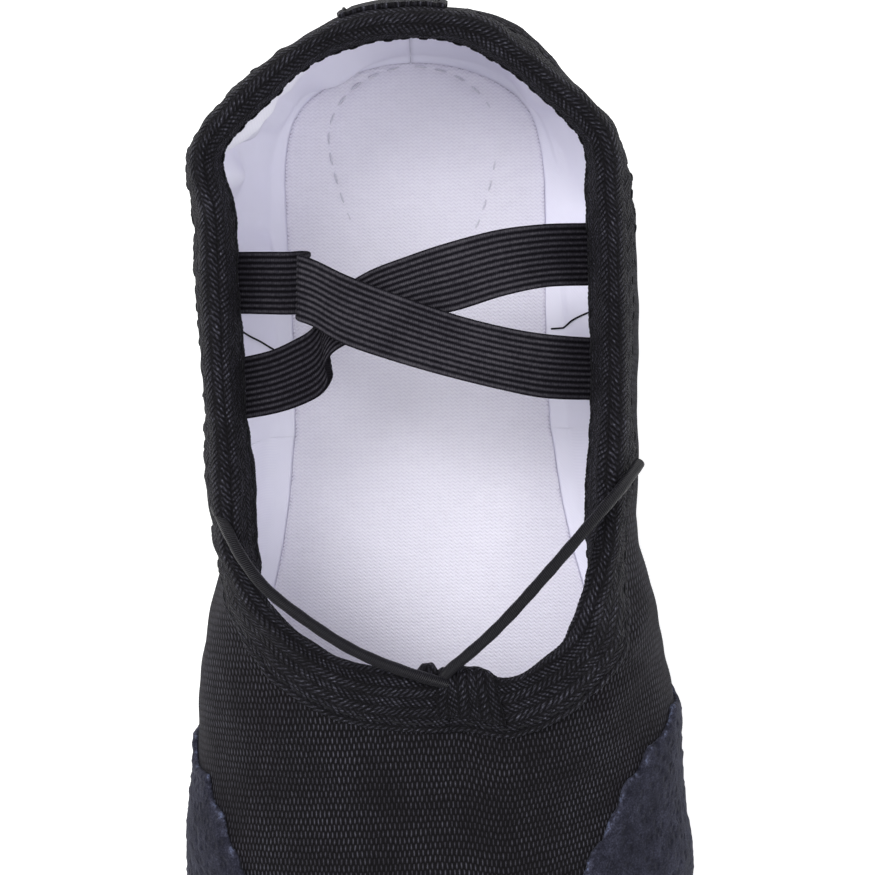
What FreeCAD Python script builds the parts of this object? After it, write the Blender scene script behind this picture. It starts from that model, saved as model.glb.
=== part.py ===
import FreeCAD, Part
import math
import os

# Canvas split-sole ballet slipper for the left foot, in millimetres.
# The toe points to -Y, the heel to +Y, +X is the outer (little toe) side and +Z is up.
# The origin lies on the floor, in the middle of the slipper's length.
#
# The upper is one smooth skin stretched between the edge of the sole and the rim of
# the opening. Each station below is a profile of that skin, a cubic curve from the
# sole edge, over two bulge points, to the rim, for the +X half. The other half mirrors it.
# The skin is the face where canvas (outside) and lining (inside) meet.

Vector = FreeCAD.Vector

# ---- driving dimensions ------------------------------------------------------------
OUTSOLE = 1.3          # suede patches
BOTTOM_CANVAS = 0.7    # canvas under the foot
CUSHION = 1.2          # cotton padding
SOCK = 1.0             # brushed cotton insole
SOLE_EDGE_Z = 2.6      # where the skin of the upper starts
CLOTH = 0.8            # canvas and lining, each
PLY_GAP = 0.1          # from the skin to each ply
SEAM_GAP = 0.15        # half the slit between two pieces of the upper
SOCK_INSET = 1.9       # sole layers stand in from the sole edge
TAPE = 0.95            # binding tape
CHANNEL_RADIUS = 1.25  # room for the drawstring in the fold of the binding
OUTER_LEAF = 8.0       # binding outside the rim
INNER_LEAF = 5.0       # binding inside the rim
LEAF_SPLAY = 0.8       # the inner leaf stands off this much per millimetre down,
HEEL_SPLAY = 0.35      # and this much round the heel
HEEL_FROM, HEEL_RUN = 84.0, 14.0  # where that begins, and how long the change takes
RAW_EDGE = 1.6         # canvas and lining stop this far below the rim
STRAP = 1.1            # elastic strap's thickness
CORD_RADIUS = 1.0      # elastic drawstring
TOE_DRIFT = -4.0       # the toe leans to the big toe's side
STITCH_LENGTH = 2.8
STITCH_STEP = 4.2
STITCH_WIDTH = 0.6
STITCH_HEIGHT = 0.4

# ---- the fold across the arch ------------------------------------------------------
FOLD_Y = 46.0
FOLD_Z = OUTSOLE + BOTTOM_CANVAS + CUSHION + SOCK
FOLD_DEG = 20.0
FOLD_SLOPE = math.tan(math.radians(FOLD_DEG))
SOLE_GAP = 0.15


def front_of_fold(z):
    """Y of the forefoot's side of the fold, at a height: a wedge opens above the insole."""
    return FOLD_Y - FOLD_SLOPE * max(0.0, z - FOLD_Z)


# sole edge (x, y), low bulge (x, y, z), high bulge (x, y, z), rim (x, y, z)
STATIONS = [
    [(0.0, 116.8), (0.0, 120.4, 10.0), (0.0, 119.6, 40.0), (0.0, 115.0, 53.0)],        # heel
    [(12.6, 114.4), (14.6, 116.8, 10.0), (14.0, 116.4, 40.0), (12.6, 112.8, 52.6)],
    [(22.6, 107.4), (26.2, 108.8, 10.0), (26.9, 107.5, 39.5), (25.1, 103.8, 52.0)],
    [(25.6, 97.8), (34.0, 98.2, 9.5), (36.2, 96.9, 38.0), (33.4, 94.9, 50.6)],
    [(25.9, 84.0), (37.4, 84.5, 9.0), (38.9, 84.5, 36.0), (33.8, 84.0, 49.0)],
    [(25.4, 65.0), (38.0, 65.5, 9.0), (38.9, 65.5, 34.5), (33.7, 65.0, 47.5)],
    [(25.6, FOLD_Y), (37.8, FOLD_Y, 9.0), (38.0, FOLD_Y, 33.5), (33.2, FOLD_Y, 46.2)],
    [(25.7, FOLD_Y), (37.8, front_of_fold(9.0), 9.0),
     (37.4, front_of_fold(33.5), 33.5), (32.4, front_of_fold(45.8), 45.8)],
    [(27.6, 31.0), (38.6, 30.5, 9.0), (37.4, 25.5, 33.8), (31.1, 23.5, 45.2)],
    [(31.4, 14.0), (42.6, 14.0, 9.5), (40.6, 15.5, 34.3), (28.8, 17.0, 44.6)],
    [(38.2, -12.0), (48.0, -12.0, 11.0), (41.0, 2.0, 35.0), (25.0, 11.4, 43.6)],
    [(42.0, -42.0), (49.4, -43.0, 14.0), (34.2, -13.0, 36.5), (19.6, 7.0, 42.6)],      # widest
    [(38.6, -78.0), (46.0, -82.0, 18.0), (22.5, -35.0, 35.5), (12.8, 3.8, 41.9)],
    [(27.0, -104.5), (32.5, -109.5, 22.0), (12.0, -51.0, 33.6), (6.4, 2.7, 41.4)],
    [(0.0, -117.6), (0.0, -124.0, 24.0), (0.0, -56.0, 33.0), (0.0, 2.3, 41.2)],        # toe
]
HEEL, REAR_FOLD, FRONT_FOLD, TOE = 0, 6, 7, 14

# The slipper's two sides aren't quite alike: sideways shifts as (y, x shift) rows, halfway up
# the sides and at the rim, and a throat that reaches further forward on the +X side.
SIDE_LEAN = [(118.0, 0.0), (100.0, -1.0), (80.0, 1.0), (62.0, 1.2), (31.0, 0.9), (8.0, 0.5),
             (-5.0, 0.6), (-20.0, 0.6), (-60.0, 0.0)]
RIM_LEAN = [(118.0, 0.0), (104.0, -1.6), (96.0, -1.6), (80.0, -0.4), (62.0, -0.5), (48.0, -0.5),
            (28.0, -0.9), (18.0, -0.3), (10.0, 1.2)]
THROAT_DROP = 2.6
SIDE_RISE = 8.0                     # the side shifts come in over this height above the sole edge,
RIM_FROM, RIM_RISE = 30.0, 12.0     # and the rim shifts take over from here, within this height
TOE_FROM, TOE_RUN = -20.0, 100.0    # the toe's drift: where it starts and how long it takes
THROAT_X, THROAT_WIDTH = 3.0, 10.0  # the throat's drop comes in from the middle to the side
THROAT_Y, THROAT_RUN = 24.0, 14.0   # and from the sides of the opening to the toe

# The suede of the forefoot climbs the skin: (station, share of the profile) on each side.
PATCH_START = 9.7
PATCH_HEIGHT_RIGHT = [(9.7, 0.30), (10.1, 0.53), (10.7, 0.64), (11.2, 0.68), (12.0, 0.70), (14.0, 0.50)]
PATCH_HEIGHT_LEFT = [(9.7, 0.16), (10.1, 0.38), (10.6, 0.53), (11.1, 0.58), (12.0, 0.63), (14.0, 0.50)]

# Half of the heel patch's outline, from the back to the arch, and its stitch line's inset.
HEEL_PATCH = [(0.0, 115.8), (11.5, 112.0), (17.2, 102.5), (14.6, 88.0), (8.6, 77.0), (0.0, 73.0)]
STITCH_INSET = 1.6
FOREFOOT_PATCH_BACK = 0.5   # y of the middle of its back edge
FOREFOOT_PATCH_BOW = 5.0    # and how far its ends lie ahead of that
PATCH_OVERHANG = 1.2        # the flat suede stands out from the sole edge
BOTTOM_CANVAS_INSET = 0.4
WRAP = 1.0                  # thickness of the suede where it climbs the canvas
LAP_GAP = 0.35              # between the canvas and what is laid over it

# Edges of the two elastic straps: (x, y rear edge, y front edge, z), from -X to +X.
TOP_STRAP = [(-33.6, 78.1, 67.5, 37.6), (-29.9, 78.1, 67.5, 38.4), (-24.5, 77.6, 66.6, 41.0),
             (-18.5, 76.6, 65.2, 44.4), (-11.0, 72.8, 61.0, 47.0), (-2.0, 69.0, 57.8, 48.2),
             (7.0, 65.6, 54.6, 48.4), (16.0, 63.1, 52.0, 47.2), (23.0, 61.8, 50.9, 43.2),
             (29.9, 61.3, 50.5, 38.4), (33.6, 61.3, 50.5, 37.6)]
UNDER_STRAP = [(-33.6, 60.1, 49.5, 37.6), (-29.8, 60.1, 49.5, 38.3), (-24.0, 61.4, 50.4, 40.2),
               (-18.0, 65.2, 53.6, 42.0), (-10.0, 71.6, 59.2, 44.0), (-2.0, 75.2, 62.8, 45.4),
               (6.0, 77.9, 66.1, 46.2), (15.0, 80.2, 68.7, 46.4), (23.0, 81.0, 70.2, 43.0),
               (29.8, 81.1, 70.3, 38.6), (33.6, 81.1, 70.3, 37.6)]

# Free runs of the drawstring, from where they leave the binding to the throat.
LEFT_CORD = [(-35.6, 34.4, 45.0), (-33.8, 31.0, 48.6), (-31.2, 25.8, 50.6), (-27.4, 20.2, 49.2),
             (-21.6, 15.2, 47.6), (-13.4, 9.2, 46.8), (-5.0, 5.4, 46.6), (2.2, 3.0, 46.0)]
RIGHT_CORD = [(37.0, 39.4, 45.2), (34.4, 36.2, 49.0), (29.4, 31.0, 50.8), (21.2, 22.0, 49.8),
              (12.6, 12.8, 48.2), (6.6, 7.6, 46.8), (2.8, 4.6, 45.2)]

# ---- the skin ----------------------------------------------------------------------


def sum_of(points, weights):
    total = Vector(0, 0, 0)
    for point, weight in zip(points, weights):
        total += point * weight
    return total


def controls():
    """Each station's four control points, as vectors."""
    return [[Vector(x, y, SOLE_EDGE_Z)] + [Vector(*p) for p in rest] for (x, y), *rest in STATIONS]


def station_places(rows):
    """How far round the slipper each station is, as the mean of its four points' travel."""
    places = [0.0]
    for a, b in zip(rows, rows[1:]):
        places.append(places[-1] + sum((q - p).Length for p, q in zip(a, b)) / len(a))
    return places


CONTROLS = controls()
PLACES = station_places(CONTROLS)
HALFWAY = PLACES[TOE]


def place_of(station):
    """The place round the slipper of a station number, which may be a fraction."""
    index = min(int(station), TOE - 1)
    return PLACES[index] + (station - index) * (PLACES[index + 1] - PLACES[index])


def mirrored(point):
    return Vector(-point.x, point.y, point.z)


def station_at(index):
    """Controls and place of a station, with the mirror image past the heel and the toe."""
    if index < HEEL:
        return [mirrored(p) for p in CONTROLS[-index]], -PLACES[-index]
    if index > TOE:
        return [mirrored(p) for p in CONTROLS[2 * TOE - index]], 2 * HALFWAY - PLACES[2 * TOE - index]
    return CONTROLS[index], PLACES[index]


def profile(place):
    """Control points of the profile at a place, on a smooth curve through the stations."""
    index = max(i for i in range(TOE) if PLACES[i] <= place or i == 0)
    (p0, u0), (p1, u1), (p2, u2), (p3, u3) = [station_at(index + k) for k in (-1, 0, 1, 2)]
    step = u2 - u1
    t = (place - u1) / step
    ends = []
    for a, b, c, d in zip(p0, p1, p2, p3):
        leave = ((b - a) * (step / (u1 - u0)) + (c - b) * ((u1 - u0) / step)) * (step / (u2 - u0))
        arrive = ((c - b) * ((u3 - u2) / step) + (d - c) * (step / (u3 - u2))) * (step / (u3 - u1))
        hermite = (2 * t**3 - 3 * t**2 + 1, t**3 - 2 * t**2 + t, 3 * t**2 - 2 * t**3, t**3 - t**2)
        ends.append(sum_of((b, leave, c, arrive), hermite))
    return ends


def smooth(t):
    """0 below 0, 1 above 1 and an even slope at both ends."""
    t = min(1.0, max(0.0, t))
    return t * t * (3 - 2 * t)


def shift_at(y, rows):
    """Shift at y from (y, shift) rows that run from the heel to the toe, eased between them."""
    if y >= rows[0][0]:
        return rows[0][1]
    for (y0, shift0), (y1, shift1) in zip(rows, rows[1:]):
        if y >= y1:
            return shift0 + (shift1 - shift0) * smooth((y0 - y) / (y0 - y1))
    return rows[-1][1]


def bare_skin(place, height):
    """Point of the skin before the toe's lean; place runs on past the heel and the toe."""
    if place < 0:
        return mirrored(bare_skin(-place, height))
    if place > HALFWAY:
        return mirrored(bare_skin(2 * HALFWAY - place, height))
    t = height
    weights = ((1 - t)**3, 3 * t * (1 - t)**2, 3 * t * t * (1 - t), t**3)
    return sum_of(profile(place), weights)


def skin_frame(place, height):
    """Point of the skin, its outward normal and its upward tangent."""
    d = 0.02
    up = bare_skin(place, height + d) - bare_skin(place, height - d)
    along = bare_skin(place + 0.5, height) - bare_skin(place - 0.5, height)
    return bare_skin(place, height), up.cross(along).normalize(), up.normalize()


def leaned(point):
    """Moves a point of the even skin to where the uneven slipper has it."""
    x, y, z = point
    high = smooth((z - RIM_FROM) / RIM_RISE)
    middle = smooth((z - SOLE_EDGE_Z) / SIDE_RISE) * (1 - high)
    toe = TOE_DRIFT * smooth((TOE_FROM - y) / TOE_RUN)
    drop = THROAT_DROP * high * smooth((x - THROAT_X) / THROAT_WIDTH) * smooth((THROAT_Y - y) / THROAT_RUN)
    return Vector(x + toe + middle * shift_at(y, SIDE_LEAN) + high * shift_at(y, RIM_LEAN), y - drop, z)


def skin(place, height, out):
    """Point at a distance outside the skin."""
    point, normal, _ = skin_frame(place, height)
    return leaned(point + normal * out)


def height_below_rim(place, distance):
    """The height on the profile that lies a distance below the rim."""
    step = 0.01
    height = 1.0
    walked = 0.0
    last = bare_skin(place, height)
    while height > step:
        point = bare_skin(place, height - step)
        stride = (point - last).Length
        if walked + stride >= distance:
            return height - step * (distance - walked) / stride
        walked += stride
        height -= step
        last = point
    return height


# ---- solids from grids of points ----------------------------------------------------


def spread(start, end, count):
    return [start + (end - start) * i / (count - 1) for i in range(count)]


def surface(grid):
    result = Part.BSplineSurface()
    result.interpolate(grid)
    return result


SAME_WAY = 1  # ruled faces join their two edges without turning one round


def shell_solid(front, back):
    """Solid between two grids of points of the same size, closed by ruled edges."""
    a, b = surface(front), surface(back)
    faces = [a.toShape(), b.toShape()]
    u0, u1, v0, v1 = a.bounds()
    for edge in (lambda s: s.uIso(u0), lambda s: s.uIso(u1), lambda s: s.vIso(v0), lambda s: s.vIso(v1)):
        faces.append(Part.makeRuledSurface(edge(a).toShape(), edge(b).toShape(), SAME_WAY))
    shell = Part.makeShell(faces)
    shell.sewShape()
    solid = Part.makeSolid(shell)
    if solid.Volume < 0:
        solid.reverse()
    return solid


def skin_piece(places, low, high, outer, inner, rows=9):
    """Ply of the upper between two offsets; low and high give its heights at a place."""
    grids = []
    for out in (outer, inner):
        grids.append([[skin(p, h, out(p, h) if callable(out) else out)
                       for h in spread(low(p), high(p), rows)] for p in places])
    return shell_solid(*grids)


def closed_outline(points):
    """Closed smooth edge through points, as a wire."""
    curve = Part.BSplineCurve()
    curve.interpolate(points, PeriodicFlag=True)
    return Part.Wire(curve.toShape())


def plate(wire, bottom, thickness):
    """Flat plate with an outline drawn at z = 0."""
    solid = Part.Face(wire).extrude(Vector(0, 0, thickness))
    solid.translate(Vector(0, 0, bottom))
    return solid


def sole_outline(inset):
    """Outline of the whole sole at a distance inside the sole edge, at z = 0."""
    points = []
    for place in spread(-HALFWAY, HALFWAY, 49)[:-1]:
        point, normal, _ = skin_frame(place, 0.0)
        flat = Vector(normal.x, normal.y, 0).normalize()
        point = leaned(point - flat * inset)
        points.append(Vector(point.x, point.y, 0))
    return closed_outline(points)


def half_space(front):
    """Big block on the toe's side or the heel's side of the fold."""
    depth = 400.0
    start = FOLD_Y - SOLE_GAP - depth if front else FOLD_Y + SOLE_GAP
    return Part.makeBox(depth, depth, depth, Vector(-depth / 2, start, -depth / 2))


def only(shape):
    """The one solid of a boolean result."""
    solids = shape.Solids
    assert len(solids) == 1, len(solids)
    return solids[0]


def cord_tube(route, radius, name):
    """Tube of straight runs joined by tangent arcs, as large as the runs allow."""
    points = [Vector(*p) for p in route]
    edges = []
    start = points[0]
    radii = []
    for before, corner, after in zip(points, points[1:], points[2:]):
        incoming = (corner - before).normalize()
        outgoing = (after - corner).normalize()
        turn = incoming.getAngle(outgoing)
        cut = 0.45 * min((corner - before).Length, (after - corner).Length)
        arc_radius = cut / math.tan(turn / 2)
        radii.append(arc_radius)
        a, b = corner - incoming * cut, corner + outgoing * cut
        bisector = (outgoing - incoming).normalize()
        centre = corner + bisector * math.hypot(arc_radius, cut)
        middle = centre - bisector * arc_radius
        edges += [Part.LineSegment(start, a).toShape(), Part.Arc(a, middle, b).toShape()]
        start = b
    edges.append(Part.LineSegment(start, points[-1]).toShape())
    path = Part.Wire(edges)
    circle = Part.makeCircle(radius, points[0], points[1] - points[0])
    tube = path.makePipeShell([Part.Wire(circle)], True, True)
    expected = math.pi * radius**2 * path.Length
    print(name, "length %.1f, smallest radius %.1f, volume %.4f of its section times its length"
          % (path.Length, min(radii), tube.Volume / expected))
    return tube


# ---- the sole ------------------------------------------------------------------------


def heel_patch_outline(inset):
    half = [Vector(x, y, 0) for x, y in HEEL_PATCH]
    whole = half + [mirrored(p) for p in half[-2:0:-1]]
    wire = closed_outline(whole)
    return wire if inset == 0 else wire.makeOffset2D(-inset)


def forefoot_patch_plate(inset):
    """Flat part of the forefoot's suede: the sole's outline, with a bowed back edge."""
    wide = 80.0
    back, side = FOREFOOT_PATCH_BACK - inset, FOREFOOT_PATCH_BACK - FOREFOOT_PATCH_BOW - inset
    bow = Part.Arc(Vector(-wide / 2, side, 0), Vector(0, back, 0), Vector(wide / 2, side, 0)).toShape()
    far = -200.0
    corners = [Vector(wide / 2, side, 0), Vector(wide, side, 0), Vector(wide, far, 0),
               Vector(-wide, far, 0), Vector(-wide, side, 0), Vector(-wide / 2, side, 0)]
    region = Part.Face(Part.Wire([bow, *Part.makePolygon(corners).Edges]))
    face = Part.Face(sole_outline(inset - PATCH_OVERHANG)).common(region)
    return face.Faces[0]


def patch_height(place, table):
    """Height that the suede reaches at a place, eased between the table's rows."""
    rows = [(place_of(station), share) for station, share in table]
    for (p0, h0), (p1, h1) in zip(rows, rows[1:]):
        if place <= p1:
            return h0 + (h1 - h0) * smooth((place - p0) / (p1 - p0))
    return rows[-1][1]


def forefoot_outsole():
    """Suede patch under the ball that wraps up its sides and round the toe."""
    start = place_of(PATCH_START)
    inner = CLOTH + LAP_GAP
    buried_z = 0.8  # the wrap's outer face starts here, inside the flat part

    def low(place):
        rise = 3 * (profile(place if place <= HALFWAY else 2 * HALFWAY - place)[1].z - SOLE_EDGE_Z)
        return -(skin(place, 0.0, inner + WRAP).z - buried_z) / rise

    def top(place):
        if place <= HALFWAY:
            return patch_height(place, PATCH_HEIGHT_RIGHT)
        return patch_height(2 * HALFWAY - place, PATCH_HEIGHT_LEFT)

    places = spread(start, 2 * HALFWAY - start, 97)
    wrap = skin_piece(places, low, top, inner + WRAP, inner, rows=17)
    flat = forefoot_patch_plate(0).extrude(Vector(0, 0, OUTSOLE))
    return only(flat.fuse(wrap))


def heel_outsole():
    """Suede patch under the heel."""
    solid = plate(heel_patch_outline(0), 0, OUTSOLE)
    lower = [e for e in solid.Edges if e.BoundBox.ZMax < 0.01]
    return solid.makeFillet(0.4, lower)


def sole_layer(front, bottom, thickness, inset):
    """One flat layer under the foot, on one side of the fold."""
    return only(plate(sole_outline(inset), bottom, thickness).common(half_space(front)))


def stitches_along(wire, z):
    """Row of thread bars lying along a wire, on a flat layer."""
    edges = Part.__sortEdges__(wire.Edges)
    bars = []
    for edge in edges:
        count = int(edge.Length / STITCH_STEP)
        for i in range(count):
            parameter = edge.getParameterByLength((i + 0.5) * edge.Length / count)
            point, along = edge.valueAt(parameter), edge.tangentAt(parameter)
            bar = Part.makeBox(STITCH_LENGTH, STITCH_WIDTH, STITCH_HEIGHT,
                               Vector(-STITCH_LENGTH / 2, -STITCH_WIDTH / 2, 0))
            bar.rotate(Vector(0, 0, 0), Vector(0, 0, 1), math.degrees(math.atan2(along.y, along.x)))
            bar.translate(Vector(point.x, point.y, z))
            bars.append(bar)
    return Part.makeCompound(bars)


def heel_patch_stitching():
    return stitches_along(heel_patch_outline(STITCH_INSET), FOLD_Z)


def forefoot_patch_stitching():
    inside_sock = SOCK_INSET + STITCH_INSET + PATCH_OVERHANG
    return stitches_along(forefoot_patch_plate(inside_sock).OuterWire, FOLD_Z)


# ---- the upper -----------------------------------------------------------------------


def raw_edge(place):
    return height_below_rim(place, RAW_EDGE)


def ply_offsets(lining):
    """Outer and inner offsets of the canvas or the lining."""
    near, far = PLY_GAP, PLY_GAP + CLOTH
    return (-near, -far) if lining else (far, near)


FOLD_CLEARANCE = 0.3  # places between the front pieces and the fold
FRONT_PLACES = spread(place_of(FRONT_FOLD) + FOLD_CLEARANCE,
                      2 * HALFWAY - place_of(FRONT_FOLD) - FOLD_CLEARANCE, 61)


def front_ply(lining):
    """Vamp and sides, from one edge of the fold round the toe to the other."""
    return skin_piece(FRONT_PLACES, lambda p: 0.0, raw_edge, *ply_offsets(lining), rows=21)


def rear_ply(lining, side):
    """Quarter of the upper, from the back seam to the fold."""
    places = spread(side * SEAM_GAP, side * (place_of(REAR_FOLD) - SEAM_GAP), 25)
    return skin_piece(places, lambda p: 0.0, raw_edge, *ply_offsets(lining))


FOLD_LOW = 0.3  # the fold sections start here, where the wedge is wide enough


def both_sides(make):
    """A piece made over the places of the fold on +X, and again on -X."""
    places = spread(place_of(REAR_FOLD) + FOLD_CLEARANCE, place_of(FRONT_FOLD) - FOLD_CLEARANCE, 5)
    return Part.makeCompound([make(places), make([-p for p in places])])


def fold_ply(lining):
    """The wedges of cloth that crumple when the arch folds."""
    return both_sides(lambda places: skin_piece(places, lambda p: FOLD_LOW, raw_edge, *ply_offsets(lining)))


def binding_section(place, grow):
    """Points of the folded tape's section, from the outer leaf over the rim to the inner leaf."""
    points = []
    outer_low = height_below_rim(place, OUTER_LEAF)
    out = CHANNEL_RADIUS + grow
    for height in spread(outer_low, 1.0, 9)[:-1]:
        point, normal, _ = skin_frame(place, height)
        points.append(point + normal * out)
    rim, normal, up = skin_frame(place, 1.0)
    splay = LEAF_SPLAY + (HEEL_SPLAY - LEAF_SPLAY) * smooth((rim.y - HEEL_FROM) / HEEL_RUN)
    for degrees in spread(0, 180, 6):
        angle = math.radians(degrees)
        points.append(rim + normal * out * math.cos(angle) + up * out * math.sin(angle))
    for down in spread(0, INNER_LEAF, 7)[1:]:
        points.append(rim - up * down - normal * (out + splay * down))
    return [leaned(p) for p in points]


def binding(places):
    return shell_solid([binding_section(p, TAPE) for p in places], [binding_section(p, 0) for p in places])


THROAT_SLIT = 0.4
THROAT_SHIFT = 6.0  # the tape's two ends meet at this place before the middle of the toe


def front_binding(side):
    """Binding from the fold to the throat, where the tape's two ends meet."""
    start = FRONT_PLACES[0]
    meeting = HALFWAY - THROAT_SHIFT
    if side > 0:
        return binding(spread(start, meeting - THROAT_SLIT, 25))
    return binding(spread(meeting + THROAT_SLIT, 2 * HALFWAY - start, 29))


def heel_binding():
    end = place_of(REAR_FOLD) - SEAM_GAP
    return binding(spread(-end, end, 49))


def fold_binding():
    return both_sides(binding)


def heel_stay():
    """Tape over the back seam that stands out over the binding, a little to the -X side."""
    left, right = -11.5, 6.5
    bottom = 0.12
    ramp = 0.12
    thickness = 0.8
    ramp_top = height_below_rim(0, OUTER_LEAF + 2.0)

    def inner(place, height):
        ease = min(1.0, max(0.0, (height - ramp_top + ramp) / ramp))
        return CLOTH + LAP_GAP + ease * (CHANNEL_RADIUS + TAPE - CLOTH)

    return skin_piece(spread(left, right, 9), lambda p: bottom, lambda p: 1.0,
                      lambda p, h: inner(p, h) + thickness, inner, rows=13)


# ---- drawstring, straps and tacks ------------------------------------------------------


def casing_run():
    """The drawstring inside the heel's binding."""
    end = place_of(REAR_FOLD) - 1.0
    route = [leaned(bare_skin(p, 1.0)) for p in spread(-end, end, 21)]
    return cord_tube([tuple(p) for p in route], CORD_RADIUS, "casing run")


def ribbon(rows, thickness):
    """Flat band through rows of (x, y rear edge, y front edge, z of its underside)."""
    grids = []
    for lift in (thickness, 0.0):
        grids.append([[Vector(x, y, z + lift) for y in spread(rear, front, 4)] for x, rear, front, z in rows])
    return shell_solid(*grids)


def strap_tacks():
    """Bars of thread across each end of the straps."""
    inset, width, height, clear, margin = 1.6, 1.0, 0.5, 0.4, 0.5
    bars = []
    for rows in (TOP_STRAP, UNDER_STRAP):
        for end, inward in ((rows[1], rows[2]), (rows[-2], rows[-3])):
            x, rear, front, z = end
            slope = (inward[3] - z) / abs(inward[0] - x)
            middle = x + math.copysign(inset, inward[0] - x)
            low = z + slope * (inset + width / 2) + STRAP + clear
            corner = Vector(middle - width / 2, front + margin, low)
            bars.append(Part.makeBox(width, rear - front - 2 * margin, height, corner))
    return Part.makeCompound(bars)


def throat_tack():
    """Thread that closes the two ends of the binding under the drawstring."""
    radius, height, rounding = 1.6, 1.3, 0.5
    lump = Part.makeCylinder(radius, height, Vector(3.2, 1.0, 43.6))
    return lump.makeFillet(rounding, lump.Edges)


PIECES = {
    "forefoot_outsole": forefoot_outsole,
    "heel_outsole": heel_outsole,
    "front_bottom_canvas": lambda: sole_layer(True, OUTSOLE, BOTTOM_CANVAS, BOTTOM_CANVAS_INSET),
    "rear_bottom_canvas": lambda: sole_layer(False, OUTSOLE, BOTTOM_CANVAS, BOTTOM_CANVAS_INSET),
    "front_cushion": lambda: sole_layer(True, OUTSOLE + BOTTOM_CANVAS, CUSHION, SOCK_INSET),
    "rear_cushion": lambda: sole_layer(False, OUTSOLE + BOTTOM_CANVAS, CUSHION, SOCK_INSET),
    "front_sock": lambda: sole_layer(True, FOLD_Z - SOCK, SOCK, SOCK_INSET),
    "rear_sock": lambda: sole_layer(False, FOLD_Z - SOCK, SOCK, SOCK_INSET),
    "heel_patch_stitching": heel_patch_stitching,
    "forefoot_patch_stitching": forefoot_patch_stitching,
    "vamp_canvas": lambda: front_ply(False),
    "vamp_lining": lambda: front_ply(True),
    "left_quarter_canvas": lambda: rear_ply(False, -1),
    "right_quarter_canvas": lambda: rear_ply(False, 1),
    "left_quarter_lining": lambda: rear_ply(True, -1),
    "right_quarter_lining": lambda: rear_ply(True, 1),
    "canvas_fold_sections": lambda: fold_ply(False),
    "lining_fold_sections": lambda: fold_ply(True),
    "binding_fold_sections": fold_binding,
    "front_binding_left": lambda: front_binding(-1),
    "front_binding_right": lambda: front_binding(1),
    "heel_binding": heel_binding,
    "heel_stay": heel_stay,
    "drawstring_casing_run": casing_run,
    "drawstring_left": lambda: cord_tube(LEFT_CORD, CORD_RADIUS, "left cord"),
    "drawstring_right": lambda: cord_tube(RIGHT_CORD, CORD_RADIUS, "right cord"),
    "top_strap": lambda: ribbon(TOP_STRAP, STRAP),
    "under_strap": lambda: ribbon(UNDER_STRAP, STRAP),
    "strap_tacks": strap_tacks,
    "throat_tack": throat_tack,
}

os.makedirs("parts", exist_ok=True)
for name, make in PIECES.items():
    shape = make()
    box = shape.BoundBox
    print("%-26s valid %s solids %d volume %.0f  x %.1f..%.1f y %.1f..%.1f z %.1f..%.1f" % (
        name, shape.isValid(), len(shape.Solids), shape.Volume,
        box.XMin, box.XMax, box.YMin, box.YMax, box.ZMin, box.ZMax))
    shape.exportStep("parts/%s.step" % name)
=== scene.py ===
import bpy
import bmesh
import math
import numpy as np
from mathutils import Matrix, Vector


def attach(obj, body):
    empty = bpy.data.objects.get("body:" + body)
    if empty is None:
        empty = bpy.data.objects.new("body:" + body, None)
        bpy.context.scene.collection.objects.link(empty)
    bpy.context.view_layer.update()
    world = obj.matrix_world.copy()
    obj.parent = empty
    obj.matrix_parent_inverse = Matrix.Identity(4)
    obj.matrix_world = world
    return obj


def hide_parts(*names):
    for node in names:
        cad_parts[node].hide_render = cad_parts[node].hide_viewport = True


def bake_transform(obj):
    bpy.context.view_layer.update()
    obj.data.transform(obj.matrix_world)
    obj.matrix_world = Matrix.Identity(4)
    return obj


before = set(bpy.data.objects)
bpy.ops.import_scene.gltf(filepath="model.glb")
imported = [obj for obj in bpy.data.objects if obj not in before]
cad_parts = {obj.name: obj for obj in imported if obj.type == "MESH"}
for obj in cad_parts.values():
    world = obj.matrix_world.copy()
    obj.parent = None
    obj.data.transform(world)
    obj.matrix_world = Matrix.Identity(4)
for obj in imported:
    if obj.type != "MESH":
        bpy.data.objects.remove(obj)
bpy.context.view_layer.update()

# The looks of the ballet slipper. Shapes are worked out in millimetres and turned to
# metres when a mesh is made. The toe points to -Y and +Z is up.
# The upper is one skin from the sole edge to the rim of the opening, the same one that
# the CAD part is made from: each station is a profile with four control points.

MM = 0.001
SOLE_EDGE_Z = 2.6
INSOLE_Z = 4.2
CANVAS_OUT, CANVAS_IN = 0.9, 0.1
LINING_OUT, LINING_IN = -0.1, -0.9
CHANNEL_RADIUS = 1.25
TAPE = 0.95
OUTER_LEAF = 8.0
INNER_LEAF = 5.0
LEAF_SPLAY, HEEL_SPLAY = 0.8, 0.35
HEEL_FROM, HEEL_RUN = 84.0, 14.0
RAW_EDGE = 1.6
TOE_DRIFT = -4.0
CORD_RADIUS = 1.0

FOLD_Y = 46.0
FOLD_SLOPE = math.tan(math.radians(20.0))


def front_of_fold(z):
    return FOLD_Y - FOLD_SLOPE * max(0.0, z - INSOLE_Z)


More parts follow.
